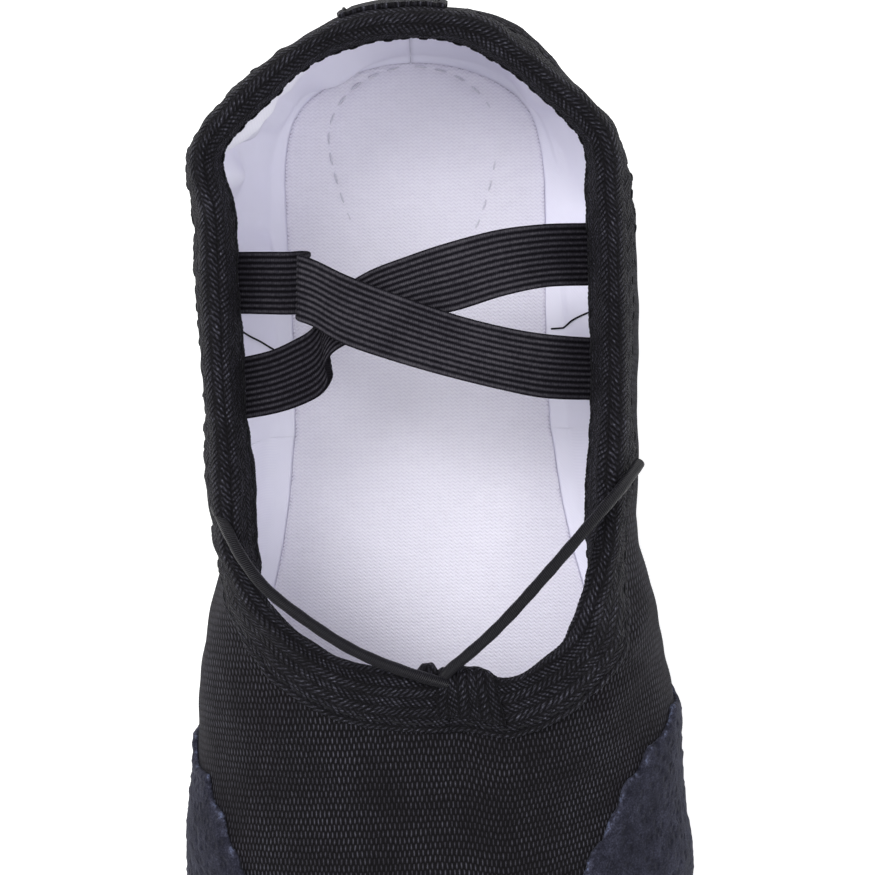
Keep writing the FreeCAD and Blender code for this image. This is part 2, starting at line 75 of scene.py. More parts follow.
# sole edge (x, y), low bulge (x, y, z), high bulge (x, y, z), rim (x, y, z)
STATIONS = [
    [(0.0, 116.8), (0.0, 120.4, 10.0), (0.0, 119.6, 40.0), (0.0, 115.0, 53.0)],        # heel
    [(12.6, 114.4), (14.6, 116.8, 10.0), (14.0, 116.4, 40.0), (12.6, 112.8, 52.6)],
    [(22.6, 107.4), (26.2, 108.8, 10.0), (26.9, 107.5, 39.5), (25.1, 103.8, 52.0)],
    [(25.6, 97.8), (34.0, 98.2, 9.5), (36.2, 96.9, 38.0), (33.4, 94.9, 50.6)],
    [(25.9, 84.0), (37.4, 84.5, 9.0), (38.9, 84.5, 36.0), (33.8, 84.0, 49.0)],
    [(25.4, 65.0), (38.0, 65.5, 9.0), (38.9, 65.5, 34.5), (33.7, 65.0, 47.5)],
    [(25.6, FOLD_Y), (37.8, FOLD_Y, 9.0), (38.0, FOLD_Y, 33.5), (33.2, FOLD_Y, 46.2)],
    [(25.7, FOLD_Y), (37.8, front_of_fold(9.0), 9.0),
     (37.4, front_of_fold(33.5), 33.5), (32.4, front_of_fold(45.8), 45.8)],
    [(27.6, 31.0), (38.6, 30.5, 9.0), (37.4, 25.5, 33.8), (31.1, 23.5, 45.2)],
    [(31.4, 14.0), (42.6, 14.0, 9.5), (40.6, 15.5, 34.3), (28.8, 17.0, 44.6)],
    [(38.2, -12.0), (48.0, -12.0, 11.0), (41.0, 2.0, 35.0), (25.0, 11.4, 43.6)],
    [(42.0, -42.0), (49.4, -43.0, 14.0), (34.2, -13.0, 36.5), (19.6, 7.0, 42.6)],      # widest
    [(38.6, -78.0), (46.0, -82.0, 18.0), (22.5, -35.0, 35.5), (12.8, 3.8, 41.9)],
    [(27.0, -104.5), (32.5, -109.5, 22.0), (12.0, -51.0, 33.6), (6.4, 2.7, 41.4)],
    [(0.0, -117.6), (0.0, -124.0, 24.0), (0.0, -56.0, 33.0), (0.0, 2.3, 41.2)],        # toe
]
REAR_FOLD, FRONT_FOLD, TOE = 6, 7, 14
# The slipper's two sides aren't quite alike: sideways shifts as (y, x shift) rows, halfway up
# the sides and at the rim, and a throat that reaches further forward on the +X side.
SIDE_LEAN = [(118.0, 0.0), (100.0, -1.0), (80.0, 1.0), (62.0, 1.2), (31.0, 0.9), (8.0, 0.5),
             (-5.0, 0.6), (-20.0, 0.6), (-60.0, 0.0)]
RIM_LEAN = [(118.0, 0.0), (104.0, -1.6), (96.0, -1.6), (80.0, -0.4), (62.0, -0.5), (48.0, -0.5),
            (28.0, -0.9), (18.0, -0.3), (10.0, 1.2)]
THROAT_DROP = 2.6
SIDE_RISE = 8.0
RIM_FROM, RIM_RISE = 30.0, 12.0
TOE_FROM, TOE_RUN = -20.0, 100.0
THROAT_X, THROAT_WIDTH = 3.0, 10.0
THROAT_Y, THROAT_RUN = 24.0, 14.0
PATCH_START = 9.7
PATCH_HEIGHT_RIGHT = [(9.7, 0.30), (10.1, 0.53), (10.7, 0.64), (11.2, 0.68), (12.0, 0.70), (14.0, 0.50)]
PATCH_HEIGHT_LEFT = [(9.7, 0.16), (10.1, 0.38), (10.6, 0.53), (11.1, 0.58), (12.0, 0.63), (14.0, 0.50)]
HEEL_PATCH = [(0.0, 115.8), (11.5, 112.0), (17.2, 102.5), (14.6, 88.0), (8.6, 77.0), (0.0, 73.0)]

LEFT_CORD = [(-35.6, 34.4, 45.0), (-33.8, 31.0, 48.6), (-31.2, 25.8, 50.6), (-27.4, 20.2, 49.2),
             (-21.6, 15.2, 47.6), (-13.4, 9.2, 46.6), (-5.0, 5.4, 45.8), (1.2, 3.2, 44.8), (4.0, 2.2, 42.8)]
RIGHT_CORD = [(37.0, 39.4, 45.2), (34.4, 36.2, 49.0), (29.4, 31.0, 50.8), (21.2, 22.0, 49.8),
              (12.6, 12.8, 48.2), (6.6, 7.6, 46.4), (3.0, 4.8, 44.6), (2.2, 3.2, 42.4)]

# Edges of the elastic straps, rear and front, from -X to +X. Each folds over itself once.
TOP_STRAP = [((-34.0, 78.1, 38.4), (-34.0, 67.5, 38.2)), ((-30.4, 78.1, 39.2), (-30.4, 67.4, 39.0)),
             ((-25.5, 77.9, 40.4), (-25.4, 67.1, 40.0)), ((-21.6, 77.7, 41.4), (-22.4, 66.9, 40.9)),
             ((-18.9, 77.7, 42.4), (-19.2, 66.8, 41.9)), ((-18.1, 77.4, 43.4), (-18.2, 66.4, 42.9)),
             ((-19.2, 77.0, 44.6), (-19.7, 65.9, 43.9)), ((-18.9, 76.7, 45.5), (-19.6, 65.5, 44.8)),
             ((-16.4, 75.6, 46.2), (-17.0, 64.3, 45.5)), ((-11.0, 72.8, 47.2), (-12.0, 61.2, 46.8)),
             ((-2.0, 69.0, 48.2), (-3.0, 57.8, 47.8)), ((7.0, 65.6, 48.6), (6.4, 54.8, 48.2)),
             ((15.4, 63.2, 47.8), (15.2, 52.4, 47.2)), ((22.0, 62.0, 44.4), (22.0, 51.0, 44.0)),
             ((30.2, 61.3, 39.2), (30.2, 50.5, 39.0)), ((34.0, 61.3, 38.4), (34.0, 50.5, 38.2))]
UNDER_STRAP = [((-34.0, 59.6, 38.4), (-34.0, 48.9, 38.2)), ((-30.2, 59.9, 39.1), (-30.2, 49.2, 38.9)),
               ((-25.0, 60.9, 40.0), (-24.6, 50.0, 39.8)), ((-20.8, 62.6, 40.6), (-20.0, 51.3, 40.5)),
               ((-18.2, 64.0, 41.0), (-16.6, 53.0, 41.2)), ((-16.6, 65.6, 41.6), (-14.9, 55.4, 42.2)),
               ((-15.4, 67.6, 42.2), (-15.2, 58.2, 43.2)), ((-13.4, 70.2, 43.0), (-13.4, 60.6, 43.4)),
               ((-8.0, 73.6, 44.0), (-6.0, 63.6, 44.2)), ((-1.0, 76.0, 45.2), (1.0, 65.4, 45.2)),
               ((6.0, 78.0, 46.2), (7.2, 66.4, 46.2)), ((14.6, 79.9, 46.4), (15.2, 68.6, 46.4)),
               ((22.4, 80.8, 43.8), (22.6, 70.0, 43.6)), ((30.2, 81.1, 39.4), (30.2, 70.3, 39.2)),
               ((34.0, 81.1, 38.4), (34.0, 70.3, 38.2))]


# ---- the skin ----------------------------------------------------------------------


def smoothstep(t):
    t = np.clip(t, 0.0, 1.0)
    return t * t * (3 - 2 * t)


def bezier(a, b, c, d, t):
    return (1 - t)**3 * a + 3 * t * (1 - t)**2 * b + 3 * t * t * (1 - t) * c + t**3 * d


def walked(points):
    """Distance along lines. The last two axes are a line's points and their coordinates."""
    steps = np.linalg.norm(np.diff(points, axis=-2), axis=-1)
    return np.concatenate([np.zeros_like(steps[..., :1]), np.cumsum(steps, axis=-1)], axis=-1)


def points_at(wanted, distance, points):
    """Points or directions at wanted distances, from those known at an array of distances."""
    return np.stack([np.interp(wanted, distance, points[:, k]) for k in range(3)], axis=1)


CONTROLS = np.array([[(x, y, SOLE_EDGE_Z), *rest] for (x, y), *rest in STATIONS])
STEPS = np.linalg.norm(np.diff(CONTROLS, axis=0), axis=2).mean(axis=1)
PLACES = np.concatenate([[0.0], np.cumsum(STEPS)])
HALFWAY = PLACES[TOE]
MIRROR = np.array([-1.0, 1.0, 1.0])
ROUND_CONTROLS = np.concatenate([CONTROLS[1:2] * MIRROR, CONTROLS, CONTROLS[-2:-1] * MIRROR])
ROUND_PLACES = np.concatenate([[-PLACES[1]], PLACES, [2 * HALFWAY - PLACES[-2]]])


def place_of(station):
    """The place round the slipper of a station number, which may be a fraction."""
    return float(np.interp(station, np.arange(TOE + 1), PLACES))


def profiles(places):
    """Control points of the profiles at an array of places, shape (..., 4, 3)."""
    places = np.asarray(places, float)
    half = np.where(places > HALFWAY, 2 * HALFWAY - places, np.abs(places))
    flip = (places < 0) | (places > HALFWAY)
    index = np.clip(np.searchsorted(PLACES, half, side="right") - 1, 0, TOE - 1)
    a, b, c, d = (ROUND_CONTROLS[index + k] for k in range(4))
    u0, u1, u2, u3 = (ROUND_PLACES[index + k][..., None, None] for k in range(4))
    step = u2 - u1
    t = (half[..., None, None] - u1) / step
    leave = ((b - a) * (step / (u1 - u0)) + (c - b) * ((u1 - u0) / step)) * (step / (u2 - u0))
    arrive = ((c - b) * ((u3 - u2) / step) + (d - c) * (step / (u3 - u2))) * (step / (u3 - u1))
    result = ((2 * t**3 - 3 * t**2 + 1) * b + (t**3 - 2 * t**2 + t) * leave
              + (3 * t**2 - 2 * t**3) * c + (t**3 - t**2) * arrive)
    return np.where(flip[..., None, None], result * MIRROR, result)


def bare_skin(places, heights):
    """Points of the skin before the toe's lean, for arrays of places and heights."""
    places, heights = np.broadcast_arrays(np.asarray(places, float), np.asarray(heights, float))
    t = heights[..., None]
    p = profiles(places)
    return bezier(p[..., 0, :], p[..., 1, :], p[..., 2, :], p[..., 3, :], t)


def unit(vectors):
    return vectors / np.maximum(np.linalg.norm(vectors, axis=-1, keepdims=True), 1e-9)


CLEAR_OF_FOLD = 0.3  # below this height the profiles at the fold nearly touch


def skin_frame(places, heights):
    """Points of the skin, outward normals and upward tangents."""
    d = 0.02
    up = bare_skin(places, heights + d) - bare_skin(places, heights - d)
    clear = np.maximum(heights, CLEAR_OF_FOLD)
    along = bare_skin(places + 0.5, clear) - bare_skin(places - 0.5, clear)
    return bare_skin(places, heights), unit(np.cross(up, along)), unit(up)


def shift_at(y, rows):
    """Shifts at an array of y from (y, shift) rows that run from the heel to the toe."""
    result = np.full(y.shape, rows[-1][1], float)
    for (y0, shift0), (y1, shift1) in reversed(list(zip(rows, rows[1:]))):
        result = np.where(y >= y1, shift0 + (shift1 - shift0) * smoothstep((y0 - y) / (y0 - y1)), result)
    return result


def leaned(points):
    """Moves points of the even skin to where the uneven slipper has them."""
    x, y, z = (np.asarray(points, float)[..., k] for k in range(3))
    high = smoothstep((z - RIM_FROM) / RIM_RISE)
    middle = smoothstep((z - SOLE_EDGE_Z) / SIDE_RISE) * (1 - high)
    toe = TOE_DRIFT * smoothstep((TOE_FROM - y) / TOE_RUN)
    drop = THROAT_DROP * high * smoothstep((x - THROAT_X) / THROAT_WIDTH)
    drop *= smoothstep((THROAT_Y - y) / THROAT_RUN)
    shifted = x + toe + middle * shift_at(y, SIDE_LEAN) + high * shift_at(y, RIM_LEAN)
    return np.stack([shifted, y - drop, z], axis=-1)


def heights_below_rim(places, distance):
    """Heights on the profiles that lie a distance below the rim."""
    t = np.linspace(1.0, 0.0, 161)
    line = bare_skin(np.asarray(places, float)[:, None], t[None, :])
    return np.array([np.interp(distance, row, t) for row in walked(line)])


def profile_walk(places, heights):
    """Distance of each grid point above the sole edge, along its profile."""
    return walked(bare_skin(places, heights))


WAVES = 9


def wobble(points, scale, seed):
    """Smooth pseudo-random field from -1 to 1, a sum of sine waves in fixed directions."""
    rng = np.random.default_rng(seed)
    total = np.zeros(points.shape[:-1])
    for _ in range(WAVES):
        direction = unit(rng.normal(size=3)) * rng.uniform(0.6, 1.7) * 2 * math.pi / scale
        total += np.sin(points @ direction + rng.uniform(0, 2 * math.pi))
    return total / math.sqrt(WAVES / 2) * 0.7


# ---- meshes ------------------------------------------------------------------------


def turn_outwards(mesh, merge=None):
    """Turns the faces outwards, once vertices closer than merge metres are made one."""
    work = bmesh.new()
    work.from_mesh(mesh)
    if merge:
        bmesh.ops.remove_doubles(work, verts=work.verts, dist=merge)
    bmesh.ops.recalc_face_normals(work, faces=work.faces)
    work.to_mesh(mesh)
    work.free()


def make_mesh(name, vertices, faces, material, weave):
    """Object from vertices in millimetres; weave gives the cloth's own coordinates."""
    mesh = bpy.data.meshes.new(name)
    mesh.from_pydata((np.asarray(vertices, float) * MM).tolist(), [], faces)
    attribute = mesh.attributes.new("weave", "FLOAT_VECTOR", "POINT")
    attribute.data.foreach_set("vector", np.asarray(weave, np.float32).ravel())
    mesh.polygons.foreach_set("use_smooth", [True] * len(mesh.polygons))
    mesh.materials.append(material)
    mesh.update()
    piece = bpy.data.objects.new(name, mesh)
    bpy.context.scene.collection.objects.link(piece)
    turn_outwards(mesh)
    return piece


def grid_faces(rows, columns, start=0, close_columns=False):
    """Quads over a grid of vertices numbered row by row."""
    j = np.arange(columns if close_columns else columns - 1)
    i, j = np.meshgrid(np.arange(rows - 1), j, indexing="ij")
    i2, j2 = i + 1, (j + 1) % columns
    quads = np.stack([i * columns + j, i2 * columns + j, i2 * columns + j2, i * columns + j2], axis=-1)
    return (quads.reshape(-1, 4) + start).tolist()


def tube_faces(rings, around, start=0):
    """Faces of a tube with closed ends, whose vertices are numbered ring by ring."""
    last = start + (rings - 1) * around
    caps = [list(range(first, first + around)) for first in (start, last)]
    return grid_faces(rings, around, start, close_columns=True) + caps


def border(rows, columns):
    """Vertex numbers round a grid, in order."""
    first = list(range(columns))
    last = [i * columns + columns - 1 for i in range(1, rows)]
    back = [(rows - 1) * columns + j for j in range(columns - 2, -1, -1)]
    home = [i * columns for i in range(rows - 2, 0, -1)]
    return first + last + back + home


def shell(name, outer, inner, material, weave):
    """Closed cloth between two grids of points of the same shape."""
    rows, columns = outer.shape[:2]
    count = rows * columns
    faces = grid_faces(rows, columns) + grid_faces(rows, columns, count)
    ring = border(rows, columns)
    faces += [[a, b, b + count, a + count] for a, b in zip(ring, ring[1:] + ring[:1])]
    vertices = np.concatenate([outer.reshape(-1, 3), inner.reshape(-1, 3)])
    coordinates = np.concatenate([weave.reshape(-1, 3)] * 2)
    return make_mesh(name, vertices, faces, material, coordinates)


def path_frames(points):
    """Two side directions that don't twist, along a line of points."""
    tangents = unit(np.gradient(points, axis=0))
    side = unit(np.cross(tangents[0], (0.0, 0.0, 1.0)))
    sides = []
    for tangent in tangents:
        side = unit(side - tangent * (side @ tangent))
        sides.append(side)
    sides = np.array(sides)
    return sides, np.cross(tangents, sides)


def tube(name, points, radius, material, around, relief=None):
    """Tube round a line of points. relief(distance, angle) adds to its radius."""
    points = np.asarray(points, float)
    sides, ups = path_frames(points)
    angles = np.arange(around) * 2 * math.pi / around
    s, a = np.meshgrid(walked(points), angles, indexing="ij")
    r = radius + (relief(s, a) if relief else np.zeros_like(s))
    rings = (points[:, None] + sides[:, None] * (np.cos(a) * r)[..., None]
             + ups[:, None] * (np.sin(a) * r)[..., None])
    vertices = rings.reshape(-1, 3)
    weave = np.stack([s, a * radius, np.zeros_like(s)], axis=-1).reshape(-1, 3)
    return make_mesh(name, vertices, tube_faces(len(points), around), material, weave)


def resampled(points, step):
    """Points spaced evenly along a polyline."""
    points = np.asarray(points, float)
    distance = walked(points)
    wanted = np.linspace(0, distance[-1], max(2, int(distance[-1] / step) + 1))
    return points_at(wanted, distance, points)


def through(rows, count):
    """Smooth line through rows of numbers: Catmull-Rom, evenly spread in the rows' travel."""
    rows = np.asarray(rows, float).reshape(len(rows), -1)
    travel = walked(rows)
    padded = np.concatenate([[2 * rows[0] - rows[1]], rows, [2 * rows[-1] - rows[-2]]])
    wanted = np.linspace(0, travel[-1], count)
    index = np.clip(np.searchsorted(travel, wanted, side="right") - 1, 0, len(rows) - 2)
    t = ((wanted - travel[index]) / (travel[index + 1] - travel[index]))[:, None]
    a, b, c, d = (padded[index + k] for k in range(4))
    return 0.5 * (2 * b + (c - a) * t + (2 * a - 5 * b + 4 * c - d) * t**2 + (3 * b - a - 3 * c + d) * t**3)


def stitches(name, line, normals, material, length, gap, radius):
    """Row of thread stitches along a line. Each dips into the cloth at both ends."""
    line, normals = np.asarray(line, float), np.asarray(normals, float)
    distance = walked(line)
    vertices, faces = [], []
    around, rings = 6, 6
    share = np.linspace(-1, 1, rings)
    lift = radius * (0.7 - 1.6 * share**4)
    thick = radius * np.sqrt(np.maximum(0.12, 1 - share**6))
    for begin in np.arange(gap / 2, distance[-1] - length, length + gap):
        s = np.linspace(begin, begin + length, rings)
        core = points_at(s, distance, line)
        up = unit(points_at(s, distance, normals))
        side = unit(np.cross(unit(core[-1] - core[0]), up))
        core = core + up * lift[:, None]
        for k in range(rings):
            for a in range(around):
                angle = 2 * math.pi * a / around
                way = side[k] * math.cos(angle) * 1.15 + up[k] * math.sin(angle)
                vertices.append(core[k] + thick[k] * way)
        faces += tube_faces(rings, around, len(vertices) - rings * around)
    return make_mesh(name, vertices, faces, material, np.asarray(vertices))


def upwards(count):
    return np.tile((0.0, 0.0, 1.0), (count, 1))


# ---- materials ---------------------------------------------------------------------


class Value:
    """A number in a material's nodes. Operators add Math nodes."""

    def __init__(self, tree, socket):
        self.tree, self.socket = tree, socket

    def math(self, operation, *others):
        node = self.tree.nodes.new("ShaderNodeMath")
        node.operation = operation
        for slot, value in zip(node.inputs, (self, *others)):
            if isinstance(value, Value):
                self.tree.links.new(value.socket, slot)
            else:
                slot.default_value = value
        return Value(self.tree, node.outputs[0])

    def __add__(self, other):
        return self.math("ADD", other)

    def __sub__(self, other):
        return self.math("SUBTRACT", other)

    def __mul__(self, other):
        return self.math("MULTIPLY", other)

    def __truediv__(self, other):
        return self.math("DIVIDE", other)

    def abs(self):
        return self.math("ABSOLUTE")

    def sin(self):
        return self.math("SINE")

    def floor(self):
        return self.math("FLOOR")

    def fract(self):
        return self.math("FRACT")

    def modulo(self, other):
        return self.math("FLOORED_MODULO", other)

    def power(self, other):
        return self.math("POWER", other)

    def wave(self, period):
        """From 0 to 1 and back over each period: a round thread's height."""
        return (self * (math.pi / period)).sin().abs()

    def between(self, low, high):
        """0 below low, 1 above high and smooth between."""
        node = self.tree.nodes.new("ShaderNodeMapRange")
        node.interpolation_type = "SMOOTHSTEP"
        node.inputs["From Min"].default_value = low
        node.inputs["From Max"].default_value = high
        self.tree.links.new(self.socket, node.inputs["Value"])
        return Value(self.tree, node.outputs["Result"])


def pick(choice, yes, no):
    """yes where choice is 1, no where it is 0."""
    return choice * yes + (choice * -1.0 + 1.0) * no


class Look:
    """A material in the making: coordinates in millimetres, noises, colours and bump."""

    def __init__(self, name):
        self.material = bpy.data.materials.new(name)
        self.material.use_nodes = True
        self.tree = self.material.node_tree
        self.shader = self.tree.nodes["Principled BSDF"]
        weave = self.tree.nodes.new("ShaderNodeAttribute")
        weave.attribute_name = "weave"
        split = self.tree.nodes.new("ShaderNodeSeparateXYZ")
        self.tree.links.new(weave.outputs["Vector"], split.inputs[0])
        self.u, self.v, self.w = (Value(self.tree, split.outputs[k]) for k in range(3))
        self.texture = self.tree.nodes.new("ShaderNodeTexCoord")

    def texture_node(self, kind, size, stretch=(1, 1, 1)):
        """Texture node with features of a size in millimetres."""
        mapping = self.tree.nodes.new("ShaderNodeMapping")
        mapping.inputs["Scale"].default_value = [s / (size * MM) for s in stretch]
        self.tree.links.new(self.texture.outputs["Object"], mapping.inputs["Vector"])
        node = self.tree.nodes.new(kind)
        node.inputs["Scale"].default_value = 1.0
        self.tree.links.new(mapping.outputs[0], node.inputs["Vector"])
        return node

    def noise(self, size, detail=3.0, roughness=0.6, stretch=(1, 1, 1)):
        """Noise from about 0 to 1."""
        node = self.texture_node("ShaderNodeTexNoise", size, stretch)
        node.inputs["Detail"].default_value = detail
        node.inputs["Roughness"].default_value = roughness
        return Value(self.tree, node.outputs["Fac"])

    def cells(self, size):
        """Distance to the nearest of scattered points, in cell widths."""
        node = self.texture_node("ShaderNodeTexVoronoi", size)
        return Value(self.tree, node.outputs["Distance"])

    def ramp(self, value, stops):
        """Colour from a number: stops of (position, (r, g, b))."""
        node = self.tree.nodes.new("ShaderNodeValToRGB")
        ramp = node.color_ramp
        while len(ramp.elements) < len(stops):
            ramp.elements.new(0.5)
        for element, (position, colour) in zip(ramp.elements, stops):
            element.position = position
            element.color = (*colour, 1.0)
        self.tree.links.new(value.socket, node.inputs["Fac"])
        return node.outputs["Color"]

    def finish(self, colour, roughness, heights, sheen=0.0, sheen_roughness=0.5, tint=(1, 1, 1),
               specular=0.5):
        """Links colour, roughness and a chain of (height, strength, distance in mm) bumps."""
        self.tree.links.new(colour, self.shader.inputs["Base Color"])
        if isinstance(roughness, Value):
            self.tree.links.new(roughness.socket, self.shader.inputs["Roughness"])
        else:
            self.shader.inputs["Roughness"].default_value = roughness
        self.shader.inputs["Specular IOR Level"].default_value = specular
        self.shader.inputs["Sheen Weight"].default_value = sheen
        self.shader.inputs["Sheen Roughness"].default_value = sheen_roughness
        self.shader.inputs["Sheen Tint"].default_value = (*tint, 1.0)
        last = None
        for height, strength, distance in heights:
            bump = self.tree.nodes.new("ShaderNodeBump")
            bump.inputs["Strength"].default_value = strength
            bump.inputs["Distance"].default_value = distance * MM
            self.tree.links.new(height.socket, bump.inputs["Height"])
            if last:
                self.tree.links.new(last.outputs[0], bump.inputs["Normal"])
            last = bump
        if last:
            self.tree.links.new(last.outputs[0], self.shader.inputs["Normal"])
        return self.material


def plain_weave(look, across, along):
    """Height from 0 to 1 of a plain weave, and where its lengthwise threads lie on top."""
    u = look.u + (look.noise(5.0, detail=2.0) - 0.5) * (across * 1.6)
    v = look.v + (look.noise(3.0, detail=2.0) - 0.5) * (along * 0.7)
    parity = ((u / across).floor() + (v / along).floor()).modulo(2.0)
    arch_u = (u / across).fract() - 0.5
    arch_v = (v / along).fract() - 0.5
    round_u = (arch_u * arch_u) * -4.0 + 1.0
    round_v = (arch_v * arch_v) * -4.0 + 1.0
    warp = round_u.power(0.7) * round_v.power(0.45)
    weft = round_v.power(0.8) * (round_u * 0.5 + 0.2)
    return pick(parity, warp, weft * 0.5), parity * warp


def canvas_material(name, across=0.41, along=1.2):
    """Black canvas: lint-grey nubs of the lengthwise threads on a near-black ground."""
    look = Look(name)
    height, nubs = plain_weave(look, across, along)
    patchy = look.noise(11.0).between(0.25, 0.75)
    lint = look.noise(0.7, detail=2.0)
    tone = nubs * (patchy * 0.35 + 0.3 + lint * 0.4) + height * 0.14 + (lint - 0.5) * 0.4
    colour = look.ramp(tone, [(0.0, (0.0034, 0.003, 0.0038)), (0.35, (0.0095, 0.0083, 0.0105)),
                              (0.7, (0.028, 0.0268, 0.034)), (1.0, (0.07, 0.069, 0.088))])
    return look.finish(colour, look.noise(3.0) * 0.15 + 0.8, [(height, 0.9, 0.3), (lint, 0.3, 0.1)],
                       sheen=0.03, sheen_roughness=0.4, tint=(0.85, 0.82, 1.0), specular=0.1)


TAPE_STRIPE, TAPE_RIB, TAPE_SLOPE = 1.75, 0.95, 0.9


def tape_material(name):
    """Black herringbone tape: stripes along it whose knotted ribs slant to and fro."""
    look = Look(name)
    u = look.u + (look.noise(4.0, detail=2.0) - 0.5) * 0.9
    v = look.v + (look.noise(3.0, detail=2.0) - 0.5) * 0.5
    side = (v / TAPE_STRIPE).floor().modulo(2.0) * 2.0 - 1.0
    inside = (v / TAPE_STRIPE).fract()
    rib = (u + side * inside * (TAPE_STRIPE * TAPE_SLOPE)).wave(TAPE_RIB)
    knot = (v + u * 0.3).wave(0.6)
    groove = inside.wave(1.0).power(0.35)
    lint = look.noise(0.5, detail=2.0)
    relief = rib.power(0.7) * groove * (knot * 0.45 + 0.55)
    glint = lint.between(0.5, 0.75) * relief
    tone = relief * 0.6 + glint * 0.3 + (lint - 0.5) * 0.5 + (look.noise(6.0) - 0.5) * 0.45
    colour = look.ramp(tone, [(0.05, (0.0028, 0.0024, 0.0034)), (0.35, (0.0062, 0.0056, 0.008)),
                              (0.62, (0.032, 0.0312, 0.042)), (0.95, (0.105, 0.105, 0.135))])
    return look.finish(colour, look.noise(2.0) * 0.2 + 0.62, [(relief, 1.0, 0.5), (lint, 0.4, 0.12)],
                       sheen=0.02, sheen_roughness=0.35, tint=(0.85, 0.82, 1.0), specular=0.13)


def twill_material():
    """White cotton twill lining."""
    look = Look("lining_twill")
    rib = (look.u + look.v).wave(0.55)
    shade = look.noise(18.0)
    colour = look.ramp(rib * 0.2 + shade * 0.8,
                       [(0.2, (0.79, 0.78, 0.90)), (0.55, (0.84, 0.83, 0.94)), (0.9, (0.89, 0.885, 0.96))])
    return look.finish(colour, look.noise(4.0) * 0.15 + 0.72, [(rib, 0.22, 0.07)],
                       sheen=0.1, sheen_roughness=0.5, specular=0.25)


def brushed_material():
    """White brushed cotton of the insole, with fine zigzag ridges across the foot and painted shade along
    its edge where w rises.
    """
    look = Look("insole_brushed")
    zig = ((look.u / 0.95).fract() - 0.5).abs() * 0.8
    ridge = (look.v + zig + (look.noise(3.0) - 0.5) * 0.5).wave(0.68)
    fluff = look.noise(0.35, detail=4.0, roughness=0.7)
    soft = look.noise(1.6, detail=3.0, stretch=(0.5, 1.0, 1.0))
    shade = look.noise(22.0)
    # look.w darkens the tone: painted shade in the crevice along the insole's edge.
    tone = ridge * 0.3 + fluff * 0.36 + soft * 0.22 + shade * 0.12 - look.w * 0.5
    colour = look.ramp(tone, [(0.0, (0.22, 0.2, 0.27)), (0.25, (0.68, 0.655, 0.755)),
                              (0.5, (0.785, 0.765, 0.855)), (0.85, (0.86, 0.845, 0.915))])
    return look.finish(colour, fluff * 0.15 + 0.83,
                       [(ridge, 0.4, 0.16), (soft, 0.35, 0.22), (fluff, 0.3, 0.12)],
                       sheen=0.1, sheen_roughness=0.6, specular=0.12)


def elastic_material():
    """Charcoal ribbed elastic; u runs along the strap, v counts its ribs and w is painted light that pales
    its higher parts.
    """
    look = Look("ribbed_elastic")
    rib = look.v.wave(1.0)
    weft = (look.u + rib * 0.12).wave(0.34)
    worn = look.noise(7.0).between(0.3, 0.7)
    lint = look.noise(0.45, detail=2.0)
    # look.w * 0.16 is painted light: the strap's higher middle is made paler.
    tone = rib.power(1.5) * 0.6 + weft * 0.14 + worn * 0.1 + (lint - 0.5) * 0.55 + look.w * 0.16
    colour = look.ramp(tone, [(0.12, (0.0026, 0.0022, 0.0034)), (0.42, (0.0062, 0.0055, 0.0085)),
                              (0.72, (0.024, 0.0225, 0.029)), (1.0, (0.064, 0.06, 0.07))])
    return look.finish(colour, worn * 0.12 + 0.66, [(weft, 0.6, 0.14), (lint, 0.4, 0.1)],
                       sheen=0.02, sheen_roughness=0.35, specular=0.06)


def cord_material():
    """Black covered elastic cord: fine threads wound round it, nearly at right angles."""
    look = Look("covered_cord")
    wound = (look.u + look.v * 0.22).wave(0.34)
    lint = look.noise(0.5, detail=2.0)
    tone = wound * 0.85 + (lint - 0.5) * 0.4
    colour = look.ramp(tone, [(0.05, (0.002, 0.0018, 0.0025)), (0.5, (0.0045, 0.0042, 0.0056)),
                              (1.0, (0.03, 0.029, 0.036))])
    return look.finish(colour, lint * 0.15 + 0.27, [(wound, 0.9, 0.16), (lint, 0.2, 0.05)],
                       sheen=0.01, sheen_roughness=0.3, specular=0.16)


def suede_material():
    """Slate-navy split suede: short nap, small pits, and a pale raw edge where w is 1."""
    look = Look("split_suede")
    pits = look.cells(1.7).between(0.1, 0.5)
    nap = look.noise(0.35, detail=4.0, roughness=0.75)
    mottled = look.noise(4.0, detail=5.0, roughness=0.65)
    broken = look.noise(1.8, detail=2.0).between(0.42, 0.62)
    tone = (nap - 0.5) * 1.3 + mottled * 0.75 + pits * 0.1 + look.w * broken * 0.35
    colour = look.ramp(tone, [(0.15, (0.0045, 0.0044, 0.0075)), (0.45, (0.015, 0.0152, 0.0245)),
                              (0.75, (0.042, 0.043, 0.066)), (1.0, (0.12, 0.145, 0.24))])
    return look.finish(colour, nap * 0.1 + 0.85, [(pits, 0.6, 0.5), (nap, 0.6, 0.2)],
                       sheen=0.05, sheen_roughness=0.5, tint=(0.8, 0.82, 1.0), specular=0.08)


def thread_material(name, dark, light):
    """Twisted sewing thread."""
    look = Look(name)
    twist = look.noise(0.3, detail=2.0)
    return look.finish(look.ramp(twist, [(0.3, dark), (0.7, light)]), twist * 0.2 + 0.6,
                       [(twist, 0.5, 0.08)], sheen=0.02, specular=0.15)


def wadding_material():
    """Cotton wadding between the insole and the bottom canvas."""
    look = Look("cotton_wadding")
    fluff = look.noise(0.8, detail=4.0, roughness=0.7)
    return look.finish(look.ramp(fluff, [(0.3, (0.6, 0.57, 0.5)), (0.7, (0.76, 0.74, 0.68))]),
                       fluff * 0.1 + 0.85, [(fluff, 0.6, 0.4)], sheen=0.3, specular=0.1)


# ---- the upper ---------------------------------------------------------------------

